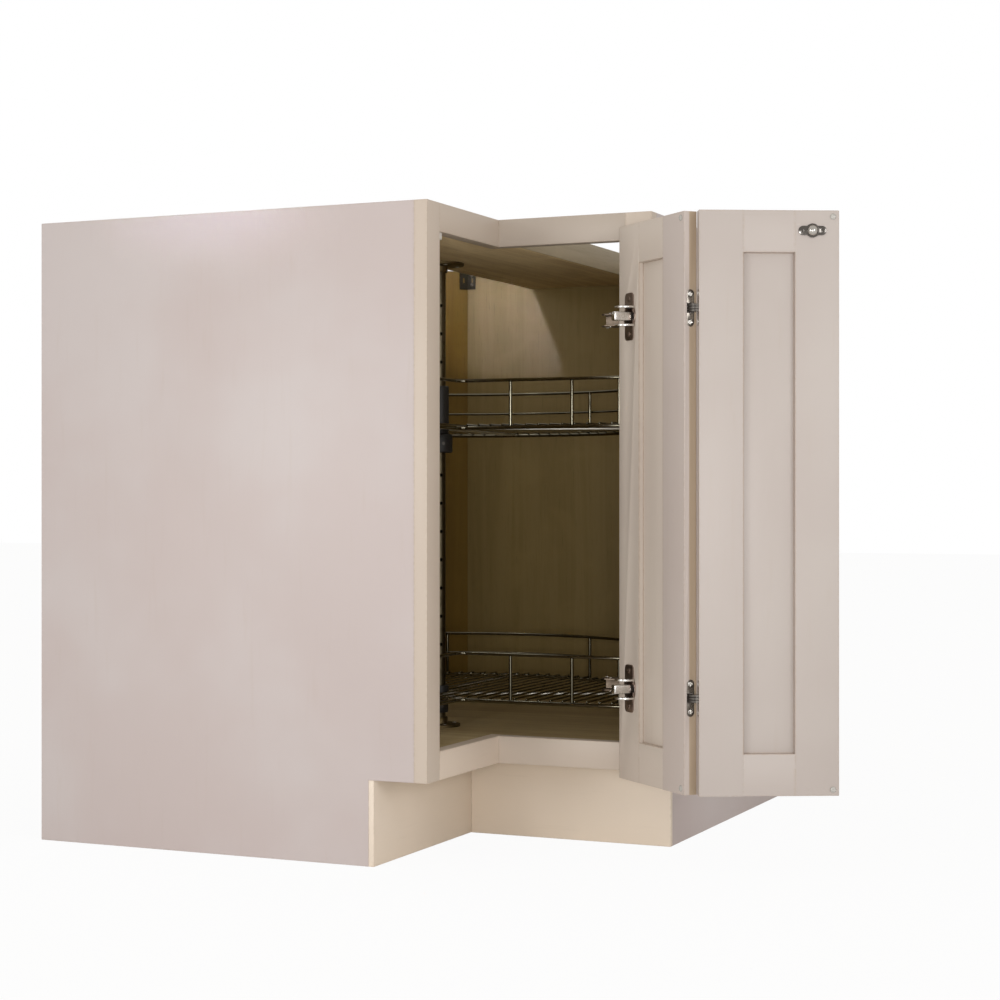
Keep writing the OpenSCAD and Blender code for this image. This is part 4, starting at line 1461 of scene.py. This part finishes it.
@dataclass
class CarcassFittings(Assembly):
    """Corner brackets, the catch's body and the screws that stay with the carcass.

    Attributes:
        bracket: width, height and thickness of a bracket's flange, in millimetres.
        plate_reach: the hinge plate screws' distance above and below the plate's middle.
        circles: radii of the screw circles of the top and the bottom bearing.
    """

    bracket: Triple = (15.0, 31.0, 1.6)
    plate_reach: float = 20.0
    circles: Tuple[float, float] = (29.0, 25.0)

    def build(self) -> None:
        """Builds the brackets with their slots, the catch and every screw head."""
        w, h, t = self.bracket
        bm = Bench.of_node("corner_brackets", self.place)
        cuts = [Bench.moved(Bench.plate((3.4, 9.0, 8.0), 1.65, 0), place @ Matrix.Translation((0, 0, -4)))
                for place in self._flanges(h / 2)]
        self.piece("corner_brackets.slotted", Bench.carved(bm, cuts), BRACKET, Slot.DARK)
        inner = PLAN.face_width - PLAN.frame_w
        hinge = [Bench.on_end(inner - 3, PLAN.frame_t / 2, z + s * self.plate_reach)
                 for z in PLAN.hinge_heights for s in (-1, 1)]
        board, deck = PLAN.height - PLAN.board_t - 4, PLAN.deck_top + 4
        pole = Vector((-PLAN.pole_inset, PLAN.pole_inset, 0))
        rings = [Bench.set_on(pole + Vector((r * math.cos(a), r * math.sin(a), z)), (1, 0, 0), (0, side, 0))
                 for r, z, side in zip(self.circles, (board, deck), (-1, 1))
                 for a in (math.radians(45 + 90 * k) for k in range(4))]
        corners = [self._flange(mirrored, drop) for drop in (h - 8, 8) for mirrored in (False, True)]
        heads = Bench.join([Screw(3.6, 2.0).driven(hinge), Screw(3.5, 1.6).driven(rings)])
        self.piece("carcass_screws.heads", heads, STEEL, Slot.STEEL)
        # The corner screws take the darker nickel, not the bright steel of the other heads: painted shade for
        # screws in the dark top corners.
        self.piece("carcass_screws.corners", Screw(3.0, 1.4).driven(corners), NICKEL, Slot.STEEL)
        top = PLAN.height - PLAN.frame_w
        shell = Bench.block((-17, -inner, top - 10), (-3, -inner + 14, top), 1.2)
        mouth = Bench.block((-13.5, -inner + 9, top - 8), (-6.5, -inner + 16, top - 2), 0.5)
        self.piece("catch_body.shell", Bench.carved(shell, [mouth]), CATCH_WHITE, Slot.CATCH)

    def _flange(self, mirrored: bool, drop: float, along: float = 9.0) -> Matrix:
        """A place on the flange that lies on a back panel.

        Args:
            mirrored: whether it is the bracket at the other clipped corner.
            drop: distance below the carcass's top.
            along: distance from the bracket's fold.

        Returns:
            The matrix, facing out of the flange.
        """
        back, t = PLAN.side_depth - PLAN.back_t, self.bracket[2]
        x = PLAN.back_clip - PLAN.side_depth + PLAN.back_t * math.tan(math.radians(22.5)) + along
        if mirrored:
            return Bench.set_on((-back + t, -x, PLAN.height - drop), (0, 1, 0), (0, 0, 1))
        return Bench.set_on((x, back - t, PLAN.height - drop), (1, 0, 0), (0, 0, 1))

    def _flanges(self, drop: float) -> List[Matrix]:
        """The slots' places on both flanges of both brackets."""
        back = PLAN.side_depth - PLAN.back_t
        x = PLAN.back_clip - PLAN.side_depth + PLAN.back_t * math.tan(math.radians(22.5))
        lean = Vector((x, back, PLAN.height - drop)) - Vector((7.5, 7.5, 0)) / math.sqrt(2)
        other = Vector((-lean.y, -lean.x, lean.z))
        return [self._flange(False, drop), self._flange(True, drop),
                Bench.set_on(lean, (1, 1, 0), (0, 0, 1)), Bench.set_on(other, (1, 1, 0), (0, 0, 1))]


@dataclass
class Rest(Assembly):
    """Frame nodes that keep their own shape."""

    def build(self) -> None:
        """Dresses them."""
        rings = [f"{tray}_{part}" for tray in ("upper", "lower")
                 for part in ("rim", "posts", "rail", "guard_wire")]
        for node in rings:
            self.dress(node, CHROME)
        self.dress("fold_links", DARK)
        self.dress("pole", ZINC)
        self.dress("collar_screws", DARK)


# ------------------------------------------------------------------ the studio


@dataclass
class Studio:
    """A pale floor, soft lamps and the camera at the photograph's viewing angle.

    Attributes:
        eye: the camera's place, in metres.
        yaw: its turn to the left, in degrees.
        lens: its focal length for a 36 mm sensor.
        shift: its vertical shift.
        ambient: strength of the even light.
        key: power of the lamp at the right, in watts.
        side: power of the lamp at the left.
        front: power of the low lamp beside the camera.
        inner: power of the narrow lamp that reaches in over the open top.
        glint: power of the small lamp overhead that the wires mirror.
    """

    eye: Triple = (1.2606, -2.7236, 0.4928)
    yaw: float = 24.0
    lens: float = 74.23
    shift: float = -0.0069
    ambient: float = 0.63
    key: float = 27.6
    side: float = 26.5
    front: float = 31.0
    inner: float = 0.19
    glint: float = 0.5

    def build(self) -> None:
        """Sets the camera, the lamps, the floor and the world."""
        scene = bpy.context.scene
        scene.view_settings.view_transform = "Standard"
        self._camera(scene)
        self._lamp("key_lamp", (3.82, -2.38, 1.30), (0.0, 0.0, 0.45), 1.2, self.key)
        self._lamp("side_lamp", (-1.4, -3.95, 0.90), (0.0, 0.0, 0.45), 1.1, self.side)
        self._lamp("front_lamp", (1.55, -3.7, 0.45), (0.0, 0.0, 0.45), 0.8, self.front)
        self._lamp("inner_lamp", (-0.57, -3.88, 1.77), (-0.17, 0.516, 0.85), 0.25, self.inner, 4.2,
                   (0.76, 0.75, 1.0))
        self._lamp("glint_lamp", (-0.85, -0.08, 2.25), (0.05, 0.03, 0.24), 0.14, self.glint)
        self._floor()
        self._world(scene)

    def _camera(self, scene: bpy.types.Scene) -> None:
        """Places the camera."""
        data = bpy.data.cameras.new("camera")
        data.lens, data.sensor_width, data.shift_y = self.lens, 36.0, self.shift
        data.clip_start, data.clip_end = 0.05, 60.0
        camera = bpy.data.objects.new("camera", data)
        camera.location = self.eye
        camera.rotation_euler = (math.radians(90.0), 0.0, math.radians(self.yaw))
        scene.collection.objects.link(camera)
        scene.camera = camera

    def _lamp(self, name: str, at: Triple, to: Triple, size: float, power: float,
              spread: float = 180.0, colour: Triple = (1.0, 1.0, 1.0)) -> None:
        """Adds one soft square lamp.

        Args:
            name: the lamp's name.
            at: its place, in metres.
            to: the point that it faces.
            size: the length of its side.
            power: its power in watts.
            spread: the angle that its light fans out to, in degrees.
            colour: the light's colour.
        """
        data = bpy.data.lights.new(name, "AREA")
        data.shape, data.size, data.energy, data.color = "SQUARE", size, power, colour
        data.spread = math.radians(spread)
        lamp = bpy.data.objects.new(name, data)
        lamp.location = at
        lamp.rotation_euler = (Vector(at) - Vector(to)).to_track_quat("Z", "Y").to_euler()
        bpy.context.scene.collection.objects.link(lamp)

    def _floor(self) -> None:
        """Adds the pale floor, which keeps the object's shadow."""
        bm = bmesh.new()
        bmesh.ops.create_grid(bm, x_segments=1, y_segments=1, size=14.0)
        floor = Bench.object_of(bm, "floor")
        graph = Graph(bpy.data.materials.new("floor_paper"))
        at = graph.node("ShaderNodeTexCoord", {}, {}, "Object")
        paper = graph.noise(at, 40.0, 3.0)
        tone = graph.tint((0.90, 0.895, 0.89, 1), (0.93, 0.93, 0.93, 1), paper)
        matt = graph.node("ShaderNodeBsdfDiffuse", {}, {"Color": tone})
        white = graph.node("ShaderNodeEmission", {}, {"Color": (1, 1, 1, 1), "Strength": 1.0})
        path = graph.node("ShaderNodeLightPath", {}, {}, "Is Camera Ray")
        floor.data.materials.append(graph.close(graph.node(
            "ShaderNodeMixShader", {}, {0: path * 0.94, 1: matt, 2: white})))

    def _world(self, scene: bpy.types.Scene) -> None:
        """Makes the even light, white where the camera sees it, also through the clear pads."""
        scene.world = bpy.data.worlds.new("studio")
        graph = Graph(scene.world)
        path = graph.node("ShaderNodeLightPath")
        camera, clear = graph.outputs(path, ("Is Camera Ray", "Is Transmission Ray"))
        seen = camera.greater(clear)
        low, high = (graph.node("ShaderNodeBackground", {}, {"Color": colour, "Strength": strength})
                     for colour, strength in (((1.0, 0.958, 0.906, 1), self.ambient), ((1, 1, 1, 1), 1.0)))
        light = graph.node("ShaderNodeMixShader", {}, {0: seen, 1: low, 2: high})
        graph.close(light, "ShaderNodeOutputWorld")


def main() -> None:
    """Builds every sub-assembly in order and logs its pieces."""
    logging.basicConfig(level=logging.INFO, format="%(name)s %(message)s")
    cabinet = PLAN.cabinet()
    parts = [
        Carcass(Body.CABINET, cabinet),
        FaceFrame(Body.CABINET, cabinet),
        Leaf(Body.LEAF_A, PLAN.leaf_a(), stem="leaf_a", stiles=("hinge_stile", "fold_stile"),
             paint=LEAF_A_PAINTED_LIGHT, fold_paint=FOLD_PAINTED_SHADE),
        Leaf(Body.LEAF_B, PLAN.leaf_b(), stem="leaf_b", stiles=("fold_stile", "free_stile")),
        FrameHinges(Body.CABINET, cabinet),
        LeafHinges(Body.LEAF_A, PLAN.leaf_a()),
        FoldPlates(Body.LEAF_A, PLAN.leaf_a(), end="a"),
        FoldPlates(Body.LEAF_B, PLAN.leaf_b(), end="b", pocket=0.0),
        CatchParts(Body.LEAF_B, PLAN.leaf_b()),
        Pads(Body.LEAF_A, PLAN.leaf_a(), end="a", u=8.0),
        Pads(Body.LEAF_B, PLAN.leaf_b(), end="b", u=PLAN.leaf_w - 8.0),
        Spindle(Body.CABINET, PLAN.pole()),
        TrayFloor(Body.UPPER_TRAY, PLAN.pole(), node="upper_floor", z=PLAN.upper_tray),
        TrayFloor(Body.LOWER_TRAY, PLAN.pole(), node="lower_floor", z=PLAN.lower_tray),
        CarcassFittings(Body.CABINET, cabinet),
        Rest(Body.CABINET, cabinet),
    ]
    for part in parts:
        part.build()
        part.report()
    Studio().build()


if __name__ == "__main__":
    main()
